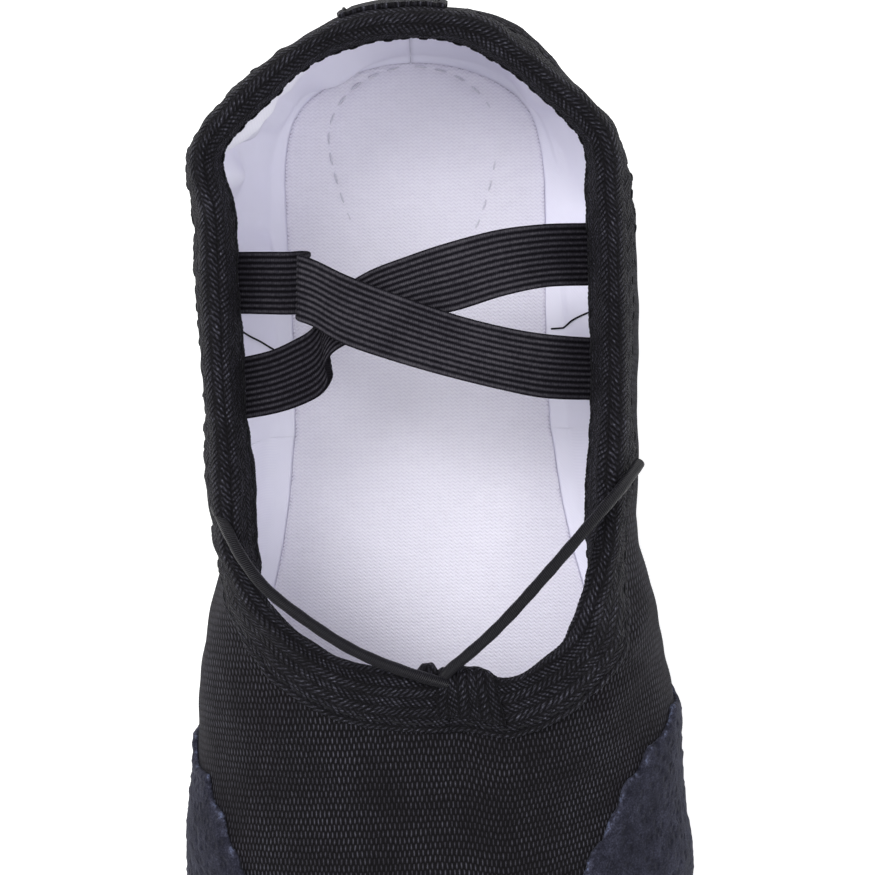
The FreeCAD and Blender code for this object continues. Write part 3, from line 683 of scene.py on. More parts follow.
CENTRE_LINE = bare_skin(np.full(41, HALFWAY), np.linspace(0, 1, 41))
FLAT = np.array((1.0, 1.0, 0.0))
FOOT_TOP = 0.06  # height on the profiles where the lining's turned-in foot begins
FOOT_INSET = 3.6
FOOT_LOW, FOOT_HIGH = 2.72, 3.2
FOOT_COLUMNS = 6
FOOT_REACH, WALL_REACH = 1.4, 0.7  # how far the bend's curve follows the foot and the wall


def vamp_weave(_places, _heights, points):
    """The cloth's own coordinates over the vamp: across the foot, and along it."""
    x, y, z = (points[..., k] for k in range(3))
    ridge = np.interp(y, CENTRE_LINE[:, 1], CENTRE_LINE[:, 2])
    drop = np.maximum(0.0, ridge - z) * 0.9
    across = np.sign(x) * (np.abs(x)**1.25 + drop**1.25)**0.8
    rise = 0.13 * np.maximum(0.0, across - 8.0)
    return np.stack([across, y - rise, np.zeros_like(x)], axis=-1)


def grid_between(places, low, high, rows):
    """Places and heights of a grid, from its low to its high edge at each place."""
    t = np.linspace(0, 1, rows)
    low, high = np.broadcast_to(low, len(places)), np.broadcast_to(high, len(places))
    heights = low[:, None] + (high - low)[:, None] * t
    return np.repeat(np.asarray(places)[:, None], rows, axis=1), heights


def undulation(places, heights):
    """How far the cloth swells and dips, fading out at the sole edge and at the rim."""
    points = bare_skin(places, heights)
    fade = smoothstep(heights / 0.12) * smoothstep((1.0 - heights) / 0.18)
    return fade * (wobble(points, 34, 3) * 0.55 + wobble(points, 11, 5) * 0.13)


def puckers(places, heights):
    """Small gathers that the binding's stitches pull into the cloth below it."""
    travel = rim_travel(places)
    wander = wobble(bare_skin(places, heights), 16, 8)
    gather = np.sin(travel * 2 * math.pi / 5.2 + wander * 2.2) * (0.6 + 0.4 * wander)
    span = np.linalg.norm(bare_skin(places, heights) - bare_skin(places, 1.0), axis=-1)
    return gather * 0.28 * np.exp(-((span - OUTER_LEAF) / 5.0)**2)


RIM_PLACES = np.linspace(-2, HALFWAY * 2 + 2, 900)
RIM_LENGTHS = walked(bare_skin(RIM_PLACES, 1.0))


def rim_travel(places):
    """Distance along the rim of each place, with 0 at the heel."""
    half = np.interp(np.abs(places), RIM_PLACES, RIM_LENGTHS) - np.interp(0, RIM_PLACES, RIM_LENGTHS)
    return np.sign(places) * half


def turn_in(places, edge, tangent, z):
    """Columns that carry a wall's low edge round and in under the insole."""
    stop = sole_edge(places, FOOT_INSET)
    stop[:, 2] = z
    inward = unit((stop - edge) * FLAT)
    k = np.linspace(0, 1, FOOT_COLUMNS + 1)[:-1][None, :, None]
    a, b = stop[:, None], (stop - inward * FOOT_REACH)[:, None]
    c, d = (edge - tangent * WALL_REACH)[:, None], edge[:, None]
    return bezier(a, b, c, d, k)


def skin_cloth(name, places, high, rows, out, inner, material, weave_of, relief, turned):
    """Ply of the upper, between two offsets from the skin. A turned one goes on under the insole."""
    p, t = grid_between(places, FOOT_TOP if turned else 0.0, high, rows)
    point, normal, up = skin_frame(p, t)
    lift = relief(p, t)[..., None]
    outer = leaned(point + normal * (out + lift))
    inside = leaned(point + normal * (inner + lift))
    weave = weave_of(p, t, point)
    if turned:
        foot_out = turn_in(places, outer[:, 0], up[:, 0], FOOT_LOW)
        foot_in = turn_in(places, inside[:, 0], up[:, 0], FOOT_HIGH)
        outer = np.concatenate([foot_out, outer], axis=1)
        inside = np.concatenate([foot_in, inside], axis=1)
        below = np.linalg.norm(foot_in - inside[:, FOOT_COLUMNS][:, None], axis=2)
        foot_weave = np.repeat(weave[:, :1], FOOT_COLUMNS, axis=1)
        foot_weave[..., 0] -= below
        weave = np.concatenate([foot_weave, weave], axis=1)
    return shell(name, outer, inside, material, weave)


def blended(piece, slot, *nodes):
    """A piece in place of its CAD nodes, with its transform baked into its mesh."""
    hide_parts(*nodes)
    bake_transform(piece)
    return piece


def riding(piece, slot, body, *nodes):
    """A piece that moves with one body in place of its CAD nodes."""
    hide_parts(*nodes)
    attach(piece, body)
    return piece


def spread(start, end, step):
    return np.linspace(start, end, max(2, int(abs(end - start) / step) + 1))


FOLD_PLACE = (place_of(REAR_FOLD) + place_of(FRONT_FOLD)) / 2
CLOTH_STEP = 1.1
FRONT_PLACES = spread(FOLD_PLACE, 2 * HALFWAY - FOLD_PLACE, CLOTH_STEP)
QUARTER_PLACES = spread(0.02, FOLD_PLACE, CLOTH_STEP)
QUARTER_ROWS = 48


def quarter_weave(p, t, _points):
    return np.stack([profile_walk(p, t), -p, np.zeros_like(p)], axis=-1)


HEEL_SLACK, HEEL_SLACK_SIZE = (20.0, 113.0), 220.0
LINING_FLAP, LINING_FLAP_SIZE = (-27.0, 102.0), 110.0


def spot(points, centre, size):
    """1 at a centre seen from above, fading as a bell. The size is in square millimetres."""
    x, y = centre
    return np.exp(-((points[..., 0] - x)**2 + (points[..., 1] - y)**2) / size)


def canvas_relief(p, t):
    """Swells, gathers and the canvas's slack beside the back seam."""
    heel = spot(bare_skin(p, t), HEEL_SLACK, HEEL_SLACK_SIZE)
    heel *= 2.0 * smoothstep(t / 0.3) * smoothstep((0.84 - t) / 0.1)
    return undulation(p, t) + puckers(p, t) + heel


def lining_relief(p, t):
    """The lining follows the canvas, hangs away from it in folds and has a loose flap at the heel."""
    points = bare_skin(p, t)
    fade = smoothstep(t / 0.15) * smoothstep((1.0 - t) / 0.3)
    behind = smoothstep((points[..., 1] - 30.0) / 30.0)
    folds = wobble(points * np.array([1.0, 1.0, 0.45]), 19, 21)
    flap = spot(points, LINING_FLAP, LINING_FLAP_SIZE)
    flap *= 5.0 * smoothstep((t - 0.72) / 0.05) * smoothstep((0.92 - t) / 0.06)
    return canvas_relief(p, t) - fade * np.maximum(0.0, folds) * (0.9 + 1.2 * behind) - flap


def upper_ply(layer, ending, vamp_rows, out, inner, material, relief, turned):
    """The vamp and the two quarters of a layer of cloth, each with a cut edge under the binding."""
    high = heights_below_rim(FRONT_PLACES, RAW_EDGE)
    vamp = skin_cloth("vamp" + ending, FRONT_PLACES, high, vamp_rows, out, inner, material,
                      vamp_weave, relief, turned)
    blended(vamp, layer, "vamp_" + layer, layer + "_fold_sections")
    for side, places in (("left", -QUARTER_PLACES), ("right", QUARTER_PLACES)):
        high = heights_below_rim(places, RAW_EDGE)
        quarter = skin_cloth(side + "_quarter" + ending, places, high, QUARTER_ROWS, out, inner,
                             material, quarter_weave, relief, turned)
        blended(quarter, layer, side + "_quarter_" + layer)


def canvas_pieces():
    upper_ply("canvas", "_cloth", 70, CANVAS_OUT, CANVAS_IN, canvas_material("black_hopsack"),
              canvas_relief, turned=False)


def lining_pieces():
    upper_ply("lining", "_lining_cloth", 60, LINING_OUT, LINING_IN, twill_material(),
              lining_relief, turned=True)


# ---- the binding -------------------------------------------------------------------

LEAF_ROWS, ROLL_ROWS, INNER_ROWS = 20, 17, 14
THROAT_PLACE = HALFWAY - 6.0


def binding_section(places):
    """Bases, outward directions, distance past the fold line and distance from the outer edge."""
    low = heights_below_rim(places, OUTER_LEAF)
    t = low[:, None] + (1 - low)[:, None] * np.linspace(0, 1, LEAF_ROWS)[:-1]
    point, normal, _ = skin_frame(places[:, None], t)
    cloth = undulation(places[:, None], t) + puckers(places[:, None], t)
    point = point + normal * cloth[..., None]
    rim, rim_normal, rim_up = (a[:, None] for a in skin_frame(places, np.ones_like(places)))
    angle = np.linspace(0, math.pi, ROLL_ROWS)[None, :, None]
    roll_way = rim_normal * np.cos(angle) + rim_up * np.sin(angle)
    down = np.linspace(0, INNER_LEAF, INNER_ROWS + 1)[None, 1:, None]
    splay = LEAF_SPLAY + (HEEL_SPLAY - LEAF_SPLAY) * smoothstep((rim[..., 1:2] - HEEL_FROM) / HEEL_RUN)
    inside = rim - rim_up * down - rim_normal * splay * down
    bases = np.concatenate([point, np.broadcast_to(rim, roll_way.shape), inside], axis=1)
    ways = np.concatenate([normal, roll_way, np.broadcast_to(-rim_normal, inside.shape)], axis=1)
    walk = walked(bases + ways * (CHANNEL_RADIUS + TAPE))
    fold = walk[:, LEAF_ROWS - 1 + ROLL_ROWS // 2][:, None]
    return bases, ways, walk - fold, walk


def binding_pieces():
    """The tape round the opening, ribbed and knotted, and the two seams that hold it."""
    steps = np.linspace(THROAT_PLACE - 2 * HALFWAY, THROAT_PLACE, 3001)
    travel = rim_travel(steps)
    places = np.interp(spread(travel[0], travel[-1], 0.42), travel, steps)
    bases, ways, v, walk = binding_section(places)
    u = np.broadcast_to(rim_travel(places)[:, None], v.shape)
    points = bases + ways * CHANNEL_RADIUS
    slant = np.where(np.floor(v / TAPE_STRIPE) % 2 > 0, TAPE_SLOPE, -TAPE_SLOPE) * (v % TAPE_STRIPE)
    rib = np.abs(np.sin((u + slant) * math.pi / TAPE_RIB))
    edge = np.minimum(walk, walk[:, -1:] - walk)
    stitched = np.exp(-((edge - 1.5) / 0.5)**2)
    relief = rib * 0.16 - stitched * 0.25 + wobble(points, 7, 31) * 0.14 + wobble(points, 22, 33) * 0.2
    relief -= 0.35 * (1 - smoothstep(edge / 0.7))
    ends = np.minimum(u - u[0], u[-1] - u)
    relief -= 0.4 * (1 - smoothstep(ends / 1.2))
    press = 1 - smoothstep(walk / 5.0)
    outer = leaned(bases + ways * (CHANNEL_RADIUS + TAPE + relief - 0.4 * press)[..., None])
    inner = leaned(bases + ways * (CHANNEL_RADIUS - 0.28 * press)[..., None])
    weave = np.stack([u, v, np.zeros_like(u)], axis=-1)
    tape = shell("binding_tape", outer, inner, tape_material("binding_tape"), weave)
    blended(tape, "binding", "front_binding_left", "front_binding_right", "heel_binding",
            "binding_fold_sections")
    thread = thread_material("black_thread", (0.003, 0.0028, 0.0038), (0.012, 0.0118, 0.015))
    for name, column in (("outer", 4), ("inner", -4)):
        line = outer[4:-4:4, column] + ways[4:-4:4, column] * 0.05
        seam = stitches("binding_seam_" + name, line, ways[4:-4:4, column], thread, 2.1, 0.9, 0.19)
        blended(seam, "thread")


def binding_lap(name, start, stop, first, last, height):
    """Fold of the tape over itself, between two distances from the throat's joint."""
    steps = np.linspace(THROAT_PLACE - 40, THROAT_PLACE + 20, 1200)
    travel = rim_travel(steps)
    joint = np.interp(THROAT_PLACE, steps, travel)
    places = np.interp(spread(joint + start, joint + stop, 0.3), travel, steps)
    bases, ways, v, walk = (a[:, first:last] for a in binding_section(places))
    u = np.broadcast_to(rim_travel(places)[:, None], v.shape)
    edge = np.minimum(walk - walk[:, :1], walk[:, -1:] - walk)
    ends = np.minimum(u - u[0], u[-1] - u)
    points = bases + ways * CHANNEL_RADIUS
    swell = height * smoothstep(np.minimum(edge, ends) / 1.4) + wobble(points, 4.5, 71) * 0.16
    rib = np.abs(np.sin(v * math.pi / TAPE_RIB)) * 0.1
    low = CHANNEL_RADIUS + TAPE - 0.25
    outer = leaned(bases + ways * (low + 0.35 + swell + rib)[..., None])
    inner = leaned(bases + ways * low)
    weave = np.stack([v, u, np.zeros_like(u)], axis=-1)
    lap = shell(name, outer, inner, bpy.data.materials["binding_tape"], weave)
    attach(lap, "forefoot")


def binding_lap_pieces():
    binding_lap("binding_lap", -9.0, 2.0, 6, -3, 0.85)
    binding_lap("binding_corner", 1.2, 5.6, 22, -8, 1.5)


def lining_seam_pieces():
    """Black seams that climb the lining's two sides, seen between the straps."""
    thread = bpy.data.materials["black_thread"]
    seams = (("left", -1, 5.0, 5.16), ("right", 1, 4.81, 5.03), ("right_low", 1, 5.06, 5.24))
    for name, side, high, low in seams:
        p = side * np.linspace(place_of(high), place_of(low), 40)
        t = np.linspace(0.36, FOOT_TOP, 40)
        point, normal, up = skin_frame(p, t)
        wall = leaned(point + normal * (LINING_IN + lining_relief(p, t))[:, None])
        foot = turn_in(p[-1:], wall[-1:], up[-1:], FOOT_HIGH)[0]
        line = np.concatenate([wall, foot[:2:-1]]) - np.concatenate([normal, normal[-3:]]) * 0.12
        blended(tube("lining_seam_" + name, line, 0.17, thread, 8), "thread")


STAY_FROM, STAY_TO = -11.5, 6.5
STAY_LOW = 0.12  # height on the profiles where it ends above the sole
STAY_LIFT, STAY_THICKNESS = 1.0, 0.8
STAY_RAMP = 0.12


def heel_stay_piece():
    """Tape over the back seam, which climbs on to the binding."""
    p, t = grid_between(np.linspace(STAY_FROM, STAY_TO, 45), STAY_LOW, 1.0, 90)
    point, normal, _ = skin_frame(p, t)
    ramp_top = float(heights_below_rim(np.array([0.0]), OUTER_LEAF + 2.0)[0])
    ease = np.clip((t - ramp_top + STAY_RAMP) / STAY_RAMP, 0, 1)
    lift = STAY_LIFT + smoothstep(ease) * (CHANNEL_RADIUS + TAPE - 0.8)
    across = rim_travel(p)
    climb = profile_walk(p, t)
    edge = np.minimum(across[-1:] - across, across - across[:1])
    edge = np.minimum(edge, climb)
    pinch = np.exp(-((edge - 1.6) / 0.5)**2) * 0.22
    rolled = 0.3 * (1 - smoothstep(edge / 0.6))
    rib = np.abs(np.sin((across * 0.7 + climb * 0.9) * math.pi / 1.3)) * 0.08
    outer = leaned(point + normal * (lift + STAY_THICKNESS + rib - pinch - rolled)[..., None])
    inner = leaned(point + normal * lift[..., None])
    weave = np.stack([climb, across + 20.0, np.zeros_like(p)], axis=-1)
    stay = shell("heel_stay_tape", outer, inner, tape_material("stay_tape"), weave)
    riding(stay, "canvas", "heel", "heel_stay")
    thread = bpy.data.materials["black_thread"]
    for name, column in (("left", 3), ("right", -4)):
        way = normal[column, 2:-2:2]
        line = outer[column, 2:-2:2] + way * 0.05
        seam = stitches("heel_stay_seam_" + name, line, way, thread, 2.2, 0.9, 0.22)
        riding(seam, "thread", "heel")


# ---- the sole ----------------------------------------------------------------------


INSOLE_INSET, PADDING_INSET, BOTTOM_INSET = 1.9, 2.1, 0.4
INSOLE_THICKNESS = 1.0
PADDING_LOW, PADDING_TOP = 2.05, 3.15
BOTTOM_LOW, BOTTOM_TOP = 1.3, 2.0
SUEDE_OUT, SUEDE_IN = 2.0, 1.0
SUEDE_INSET = 1.6
SUEDE_TOP = 1.25  # of the patches under the sole, which lie on the floor
SUEDE_STEP = 0.7
MERGED = 0.00006  # metres


def sole_edge(places, inset):
    """Points of the sole's outline at a distance inside the sole edge, at z = 0."""
    point = bare_skin(places, 0.0)
    _, normal, _ = skin_frame(places, np.full_like(places, CLEAR_OF_FOLD))
    normal[..., 2] = 0
    edge = leaned(point - unit(normal) * inset)
    edge[..., 2] = 0
    return edge


def sole_rows(inset, step, across):
    """Grid over the whole sole: rows run across it, from the heel to the toe."""
    places = np.linspace(0.02, HALFWAY - 0.02, 2000)
    right, left = sole_edge(places, inset), sole_edge(-places, inset)
    forward = np.minimum.accumulate(right[:, 1] + left[:, 1])
    keep = np.concatenate([[True], np.diff(forward) < -1e-4])
    right, left = right[keep], left[keep]
    travel = walked(right)
    wanted = spread(0, travel[-1], step)
    right, left = (points_at(wanted, travel, side) for side in (right, left))
    share = np.sin(np.linspace(-math.pi / 2, math.pi / 2, across)) * 0.5 + 0.5
    return right[:, None] + (left - right)[:, None] * share[None, :, None]


def sole_border(inset):
    return sole_edge(spread(-HALFWAY, HALFWAY, 0.8), inset)


def edge_distance(grid, edge):
    """Distance of every grid point from a closed line of points, all seen from above."""
    flat = grid[..., :2].reshape(-1, 2)
    result = np.full(len(flat), 1e9)
    for start in range(0, len(edge), 64):
        part = edge[start:start + 64, :2]
        gap = np.linalg.norm(flat[:, None] - part[None], axis=2).min(axis=1)
        result = np.minimum(result, gap)
    return result.reshape(grid.shape[:2])


def closed_line(half, count):
    """Smooth closed line through half an outline and its mirror image, at z = 0."""
    half = np.array([(x, y, 0.0) for x, y in half])
    whole = np.concatenate([half, half[-2:0:-1] * MIRROR])
    again = np.concatenate([whole[-3:], whole, whole[:4]])
    travel = walked(again)
    wanted = np.linspace(travel[3], travel[3 + len(whole)], count)
    return points_at(wanted, np.linspace(0, travel[-1], 6 * count), through(again, 6 * count))


def inset_line(line, inset):
    """Closed line moved inwards, for a line that turns the same way all round."""
    tangent = unit(np.roll(line, -1, axis=0) - np.roll(line, 1, axis=0))
    inward = np.stack([tangent[:, 1], -tangent[:, 0], np.zeros(len(line))], axis=1)
    centre = line.mean(axis=0)
    if np.sum((centre - line) * inward) < 0:
        inward = -inward
    return line + inward * inset


def insole_piece():
    """Brushed insole over its padding, drawn down along its edge and its stitching."""
    grid = sole_rows(INSOLE_INSET, 1.0, 70)
    gap = edge_distance(grid, sole_border(INSOLE_INSET))
    oval = inset_line(closed_line(HEEL_PATCH, 160), 1.6)
    seam = edge_distance(grid, oval)
    crown = smoothstep(gap / 6.0) * 0.4 + wobble(grid, 26, 41) * 0.18 * smoothstep(gap / 8.0)
    sunk = 0.35 * np.exp(-(seam / 1.1)**2) + 0.25 * (1 - smoothstep(gap / 0.8))
    top, bottom = grid.copy(), grid.copy()
    top[..., 2] = INSOLE_Z + crown - sunk
    bottom[..., 2] = INSOLE_Z - INSOLE_THICKNESS + 0.32 * (1 - smoothstep((gap - 2.0) / 1.0))
    # The third weave coordinate is painted shade, strongest at the insole's edge, for the crevice beside
    # the lining.
    weave = np.stack([grid[..., 0], grid[..., 1], 0.6 * np.exp(-(gap / 0.4)**2)], axis=-1)
    insole = shell("insole_cloth", top, bottom, brushed_material(), weave)
    blended(insole, "sock", "front_sock", "rear_sock")
    thread = thread_material("white_thread", (0.55, 0.54, 0.62), (0.72, 0.71, 0.78))
    oval[:, 2] = INSOLE_Z + 0.05
    sewn = stitches("heel_patch_thread", oval, upwards(len(oval)), thread, 2.3, 1.5, 0.16)
    riding(sewn, "thread", "heel", "heel_patch_stitching")


def padding_piece():
    grid = sole_rows(PADDING_INSET, 2.2, 40)
    gap = edge_distance(grid, sole_border(PADDING_INSET))
    top, bottom = grid.copy(), grid.copy()
    top[..., 2] = PADDING_TOP - 0.35 * (1 - smoothstep((gap - 1.8) / 1.5))
    bottom[..., 2] = PADDING_LOW + 0.2 * (1 - smoothstep(gap / 1.5))
    padding = shell("sole_padding", top, bottom, wadding_material(), grid)
    blended(padding, "padding", "front_cushion", "rear_cushion")


def bottom_cloth_piece():
    grid = sole_rows(BOTTOM_INSET, 1.2, 60)
    gap = edge_distance(grid, sole_border(BOTTOM_INSET))
    sag = wobble(grid, 24, 51) * 0.15 * smoothstep(gap / 6.0)
    top, bottom = grid.copy(), grid.copy()
    top[..., 2] = BOTTOM_TOP
    bottom[..., 2] = BOTTOM_LOW + sag + 0.25 * (1 - smoothstep(gap / 1.2))
    cloth = shell("bottom_cloth", top, bottom, canvas_material("bottom_hopsack"), grid)
    blended(cloth, "canvas", "front_bottom_canvas", "rear_bottom_canvas")


def patch_top(places):
    """Height that the forefoot's suede reaches at each place."""
    result = np.empty(len(places))
    for i, place in enumerate(places):
        table = PATCH_HEIGHT_RIGHT if place <= HALFWAY else PATCH_HEIGHT_LEFT
        half = min(place, 2 * HALFWAY - place)
        rows = [(place_of(station), share) for station, share in table]
        result[i] = rows[-1][1]
        for (p0, h0), (p1, h1) in zip(rows, rows[1:]):
            if half <= p1:
                t = (half - p0) / (p1 - p0)
                result[i] = h0 + (h1 - h0) * t * t * (3 - 2 * t)
                break
    return result


def suede_side(places, offset, floor, tops, rows, under):
    """From the top edge down the side and under the sole edge, for each place."""
    t = tops[:, None] * np.linspace(1, 0, rows)[None, :]
    p = np.repeat(places[:, None], rows, axis=1)
    point, normal, up = skin_frame(p, t)
    side = leaned(point + normal * (offset + undulation(p, t))[..., None])
    start, tangent = side[:, -1], -up[:, -1]
    stop = sole_edge(places, SUEDE_INSET)
    stop[:, 2] = floor
    reach = np.linalg.norm(stop - start, axis=1, keepdims=True) * 0.45
    inward = unit(stop * FLAT - start * FLAT)
    k = np.linspace(0, 1, under)[1:][None, :, None]
    a, b = start[:, None], (start + tangent * reach)[:, None]
    c, d = (stop - inward * reach)[:, None], stop[:, None]
    return np.concatenate([side, bezier(a, b, c, d, k)], axis=1)


def suede_surface(offset, floor, half_places, tops_right, tops_left):
    """One face of the forefoot's patch: down the right side, across the bottom, up the left side."""
    right = suede_side(half_places, offset, floor, tops_right, 50, 9)
    left = suede_side(2 * HALFWAY - half_places, offset, floor, tops_left, 50, 9)
    share = np.linspace(0, 1, 46)[1:-1][None, :, None]
    flat = right[:, -1:] + (left[:, -1:] - right[:, -1:]) * share
    width = np.abs(right[:, -1:, 0] - left[:, -1:, 0]) / 2 + 1e-6
    bow = 5.0 * (1 - (2 * share[..., 0] - 1)**2)
    fade = np.exp(-np.arange(len(half_places))[:, None] / 14.0)
    flat[..., 1] += bow * fade * np.minimum(1.0, width / 10)
    return np.concatenate([right, flat, left[:, ::-1]], axis=1)


def forefoot_suede_piece():
    """Suede under and round the forefoot, with a frayed top edge."""
    half = spread(place_of(PATCH_START), HALFWAY - 0.02, SUEDE_STEP)
    count = len(half)
    rng = np.random.default_rng(61)
    fray = np.convolve(rng.normal(size=2 * count + 8), np.ones(9) / 9, "same")[:2 * count] * 0.007
    wave = np.sin(np.arange(2 * count) * SUEDE_STEP / 4.6 * math.pi) * 0.004
    tops_right = patch_top(half) + fray[:count] + wave[:count]
    tops_left = patch_top(2 * HALFWAY - half) + fray[count:] + wave[count:]
    tops_left[-1] = tops_right[-1] = (tops_left[-1] + tops_right[-1]) / 2
    outer = suede_surface(SUEDE_OUT, 0.0, half, tops_right, tops_left)
    inner = suede_surface(SUEDE_IN, SUEDE_TOP, half, tops_right, tops_left)
    dimples = wobble(outer, 2.6, 63) * 0.12
    columns = outer.shape[1]
    rim_gap = np.minimum(np.arange(columns), columns - 1 - np.arange(columns)) * 0.75
    along = np.linalg.norm(outer[1:] - outer[:-1], axis=2).mean()
    back_gap = np.arange(count) * along
    gap = np.minimum(rim_gap[None, :], back_gap[:, None])
    way = unit(outer - inner)
    on_side = (outer[..., 2] > 1.5)[..., None]
    outer = outer + way * (dimples[..., None] * on_side)
    outer = np.where(on_side, outer - way * (0.45 * (1 - smoothstep(gap / 1.2)))[..., None], outer)
    pale = 1 - smoothstep((gap - 0.1) / 0.6)
    weave = np.stack([outer[..., 0], outer[..., 1], pale], axis=-1)
    suede = shell("forefoot_suede", outer, inner, suede_material(), weave)
    turn_outwards(suede.data, MERGED)
    riding(suede, "suede", "forefoot", "forefoot_outsole")


def heel_suede_piece():
    """Flat patch inside a closed line, with a rounded lower edge."""
    line = closed_line(HEEL_PATCH, 220)[:-1]
    centre = line.mean(axis=0)
    rings = [(0.0, 0.30), (0.04, 0.08), (0.12, 0.0), (0.35, 0.0), (0.65, 0.0), (0.9, 0.0)]
    under = [line + (centre - line) * share + (0, 0, SUEDE_TOP * lift) for share, lift in rings]
    over = [line + (centre - line) * share + (0, 0, SUEDE_TOP) for share, _ in rings]
    grid = np.array(over[::-1] + under)
    weave = np.stack([grid[..., 0], grid[..., 1], np.zeros(grid.shape[:2])], axis=-1)
    suede = make_mesh("heel_suede", grid.reshape(-1, 3), tube_faces(len(grid), len(line)),
                      bpy.data.materials["split_suede"], weave.reshape(-1, 3))
    riding(suede, "suede", "heel", "heel_outsole")


def forefoot_thread_piece():
    """Stitches of the forefoot's patch, which show on the insole inside the toe."""
    start = place_of(PATCH_START) + 3
    line = sole_edge(spread(start, 2 * HALFWAY - start, 1.0), 4.7)
    line[:, 2] = INSOLE_Z + 0.4
    thread = bpy.data.materials["white_thread"]
    seam = stitches("forefoot_patch_thread", line, upwards(len(line)), thread, 2.4, 1.6, 0.2)
    riding(seam, "thread", "forefoot", "forefoot_patch_stitching")


# ---- straps and drawstring -----------------------------------------------------------

RIBS, RIB_COLUMNS = 11, 7
MIDDLE_COLUMN = 38
STRAP_LIFT = 0.55  # of the middle of its thickness above the rows
STRAP_HALF, RIB_HEIGHT = 0.33, 0.27
TACK_COUNT = 24
THROAT_TACK = (3.0, 1.9, 42.4)


def strap(name, rows, material, *nodes):
    """Ribbed elastic band between two edge lines; the rows give its underside."""
    lines = through([list(rear) + list(front) for rear, front in rows], 190)
    across = np.linspace(0, 1, RIBS * RIB_COLUMNS + 1)
    rear, front = lines[:, None, :3], lines[:, None, 3:]
    middle = rear + (front - rear) * across[None, :, None]
    along = np.gradient(middle, axis=0)
    sideways = np.gradient(middle, axis=1)
    normal = unit(np.cross(sideways, along))
    normal *= np.sign(np.median(normal[..., 2]))
    rib = np.sqrt(np.abs(np.sin(across * RIBS * math.pi)))[None, :]
    distance = walked(middle[:, MIDDLE_COLUMN])
    weft = np.sin(distance * 2 * math.pi / 1.1)[:, None] * 0.015
    half = STRAP_HALF + RIB_HEIGHT * rib + weft
    centre = middle + np.array((0.0, 0.0, STRAP_LIFT))
    outer = leaned(centre + normal * half[..., None])
    inner = leaned(centre - normal * half[..., None])
    u = np.broadcast_to(distance[:, None], half.shape)
    v = np.broadcast_to(across[None, :] * RIBS, half.shape)
    # Painted light: the strap is paler where it rises above 41.5 mm.
    painted_light = smoothstep((middle[..., 2] - 41.5) / 4.5)
    band = shell(name, outer, inner, material, np.stack([u, v, painted_light], axis=-1))
    return blended(band, "elastic", *nodes)


def strap_pieces():
    material = elastic_material()
    strap("top_elastic", TOP_STRAP, material, "top_strap")
    strap("under_elastic", UNDER_STRAP, material, "under_strap")
    thread = bpy.data.materials["black_thread"]
    lines = []
    for rows in (TOP_STRAP, UNDER_STRAP):
        for a, b in ((rows[0], rows[1]), (rows[-1], rows[-2])):
            a, b = np.array(a), np.array(b)
            ends = a + (b - a) * 0.4
            ends[:, 2] += 1.1
            share = np.linspace(0.06, 0.94, TACK_COUNT)[:, None]
            lines.append(ends[0] + (ends[1] - ends[0]) * share)
    parts = [stitches("strap_thread_%d" % k, line, upwards(TACK_COUNT), thread, 1.5, 0.4, 0.26)
             for k, line in enumerate(lines)]
    blended(joined("strap_threads", parts), "thread", "strap_tacks")


def joined(name, parts):
    """One object made of several."""
    bpy.ops.object.select_all(action="DESELECT")
    for part in parts:
        part.select_set(True)
    bpy.context.view_layer.objects.active = parts[0]
    bpy.ops.object.join()
    parts[0].name = name
    parts[0].data.name = name
    return parts[0]


def route_points(route):
    """Points in millimetres along the smooth curve that a cord's route stands for."""
    curve = bpy.data.curves.new("route", "CURVE")
    curve.dimensions = "3D"
    curve.resolution_u = 12
    spline = curve.splines.new("NURBS")
    spline.points.add(len(route) - 1)
    for point, place in zip(spline.points, route):
        point.co = (*(c * MM for c in place), 1.0)
    spline.order_u = 3
    spline.use_endpoint_u = True
    holder = bpy.data.objects.new("route", curve)
    mesh = bpy.data.meshes.new_from_object(holder)
    points = np.array([v.co for v in mesh.vertices]) / MM
    bpy.data.objects.remove(holder)
    bpy.data.curves.remove(curve)
    bpy.data.meshes.remove(mesh)
    return resampled(points, 0.2)


def cord_relief(distance, angle):
    """Fine threads wound round the cord, and a slight unevenness."""
    wound = np.abs(np.sin((distance + angle * CORD_RADIUS * 0.22) * math.pi / 0.68))
    return 0.04 * wound + 0.03 * np.sin(distance * 1.3) - 0.03


def cord_pieces():
    material = cord_material()
    for name, route, node in (("left_cord", LEFT_CORD, "drawstring_left"),
                              ("right_cord", RIGHT_CORD, "drawstring_right")):
        points = route_points(route)
        cord = tube(name, points, CORD_RADIUS, material, 20, cord_relief)
        blended(cord, "cord", node)
    end = place_of(REAR_FOLD) - 1.0
    hidden = resampled(leaned(bare_skin(np.linspace(-end, end, 200), np.ones(200))), 0.6)
    blended(tube("casing_cord", hidden, CORD_RADIUS * 0.95, material, 14), "cord", "drawstring_casing_run")


def throat_thread_piece():
    """Tack over the drawstring's ends: loops of thread, each turned from the one before."""
    thread = bpy.data.materials["black_thread"]
    x, y, z = THROAT_TACK
    turn = np.linspace(0, 2 * math.pi, 22)
    parts = []
    for k in range(7):
        angle = k * 2.4
        ring = np.stack([x + 1.0 * np.cos(turn) * math.cos(angle) + 0.4 * np.sin(turn) * math.sin(angle),
                         y + 1.0 * np.cos(turn) * math.sin(angle) - 0.4 * np.sin(turn) * math.cos(angle),
                         z + 0.6 * np.sin(turn)], axis=1)
        parts.append(tube("tack_%d" % k, ring, 0.24, thread, 8))
    riding(joined("throat_thread", parts), "thread", "forefoot", "throat_tack")


# ---- stage -------------------------------------------------------------------------

FLOOR_GLOW = 0.36  # enough to wash the shadows out of a white backdrop
FLOOR_SIZE, FLOOR_Z = 6.0, -0.0004
SKY = 0.5
LIT_PLACE = (0, 0.03, 0.03)
CAMERA_PLACE, CAMERA_TURN = (0.0027, 0.0449, 0.498), -1.89
SENSOR, LENS = 36.0, 109.03


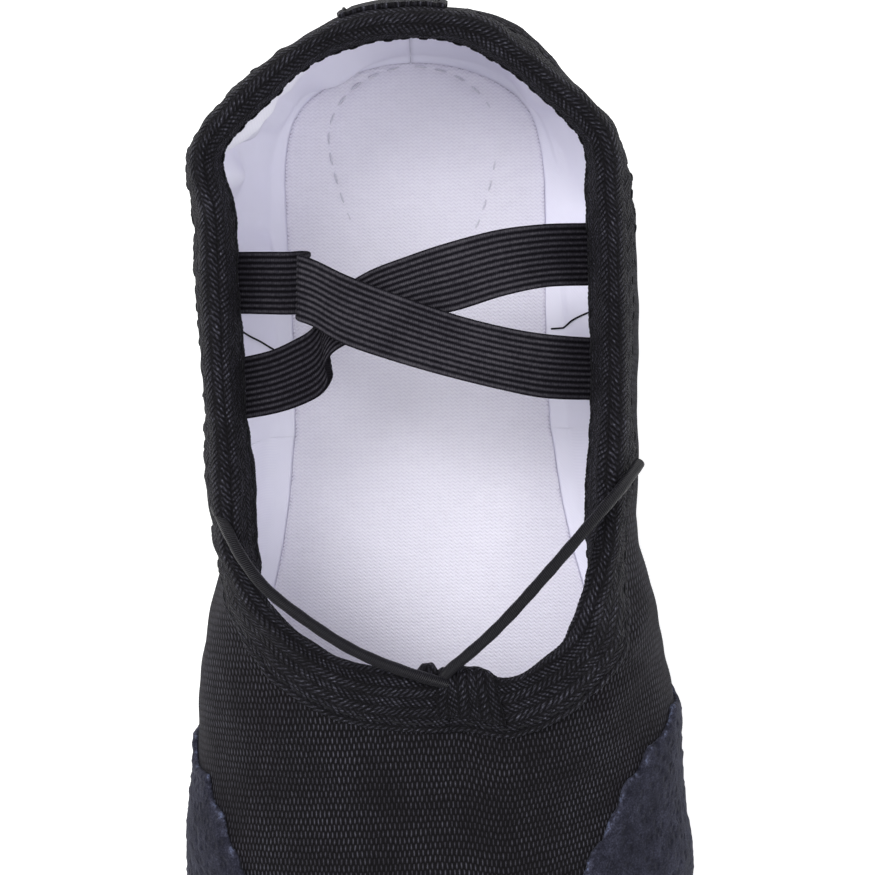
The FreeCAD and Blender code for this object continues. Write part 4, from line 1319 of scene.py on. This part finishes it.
def plain_floor():
    look = Look("floor_paper")
    colour = look.ramp(look.noise(60.0), [(0.0, (0.985, 0.985, 0.985)), (1.0, (0.995, 0.995, 0.995))])
    material = look.finish(colour, 0.9, [])
    shader = material.node_tree.nodes["Principled BSDF"]
    shader.inputs["Emission Color"].default_value = (1.0, 1.0, 1.0, 1.0)
    shader.inputs["Emission Strength"].default_value = FLOOR_GLOW
    bpy.ops.mesh.primitive_plane_add(size=FLOOR_SIZE, location=(0, 0, FLOOR_Z))
    floor = bpy.context.object
    floor.name = "floor"
    floor.data.materials.append(material)


def soft_light(name, place, size, power, colour=(1, 1, 1)):
    light = bpy.data.lights.new(name, "AREA")
    light.size = size
    light.energy = power
    light.color = colour
    holder = bpy.data.objects.new(name, light)
    bpy.context.scene.collection.objects.link(holder)
    holder.location = place
    way = np.array(LIT_PLACE) - np.array(place)
    holder.rotation_euler = Vector(way).to_track_quat("-Z", "Y").to_euler()


def studio():
    world = bpy.data.worlds.new("studio")
    bpy.context.scene.world = world
    world.use_nodes = True
    background = world.node_tree.nodes["Background"]
    background.inputs["Color"].default_value = (1.0, 1.0, 1.0, 1.0)
    background.inputs["Strength"].default_value = SKY
    soft_light("key", (-0.45, 0.35, 0.85), 0.5, 6.5)
    soft_light("fill", (0.55, -0.2, 0.8), 0.7, 3.5, (0.96, 0.97, 1.0))
    soft_light("top", (0.0, 0.1, 1.1), 0.8, 3.5)
    bpy.context.scene.view_settings.view_transform = "Standard"


def camera():
    """Looks straight down at the opening from half a metre, turned a little in its plane."""
    data = bpy.data.cameras.new("camera")
    data.sensor_width = SENSOR
    data.lens = LENS
    holder = bpy.data.objects.new("camera", data)
    bpy.context.scene.collection.objects.link(holder)
    holder.location = CAMERA_PLACE
    holder.rotation_euler = (0.0, 0.0, math.radians(CAMERA_TURN))
    bpy.context.scene.camera = holder


camera()
studio()
plain_floor()
canvas_pieces()
lining_pieces()
binding_pieces()
binding_lap_pieces()
lining_seam_pieces()
insole_piece()
padding_piece()
bottom_cloth_piece()
forefoot_suede_piece()
heel_suede_piece()
forefoot_thread_piece()
heel_stay_piece()
strap_pieces()
cord_pieces()
throat_thread_piece()
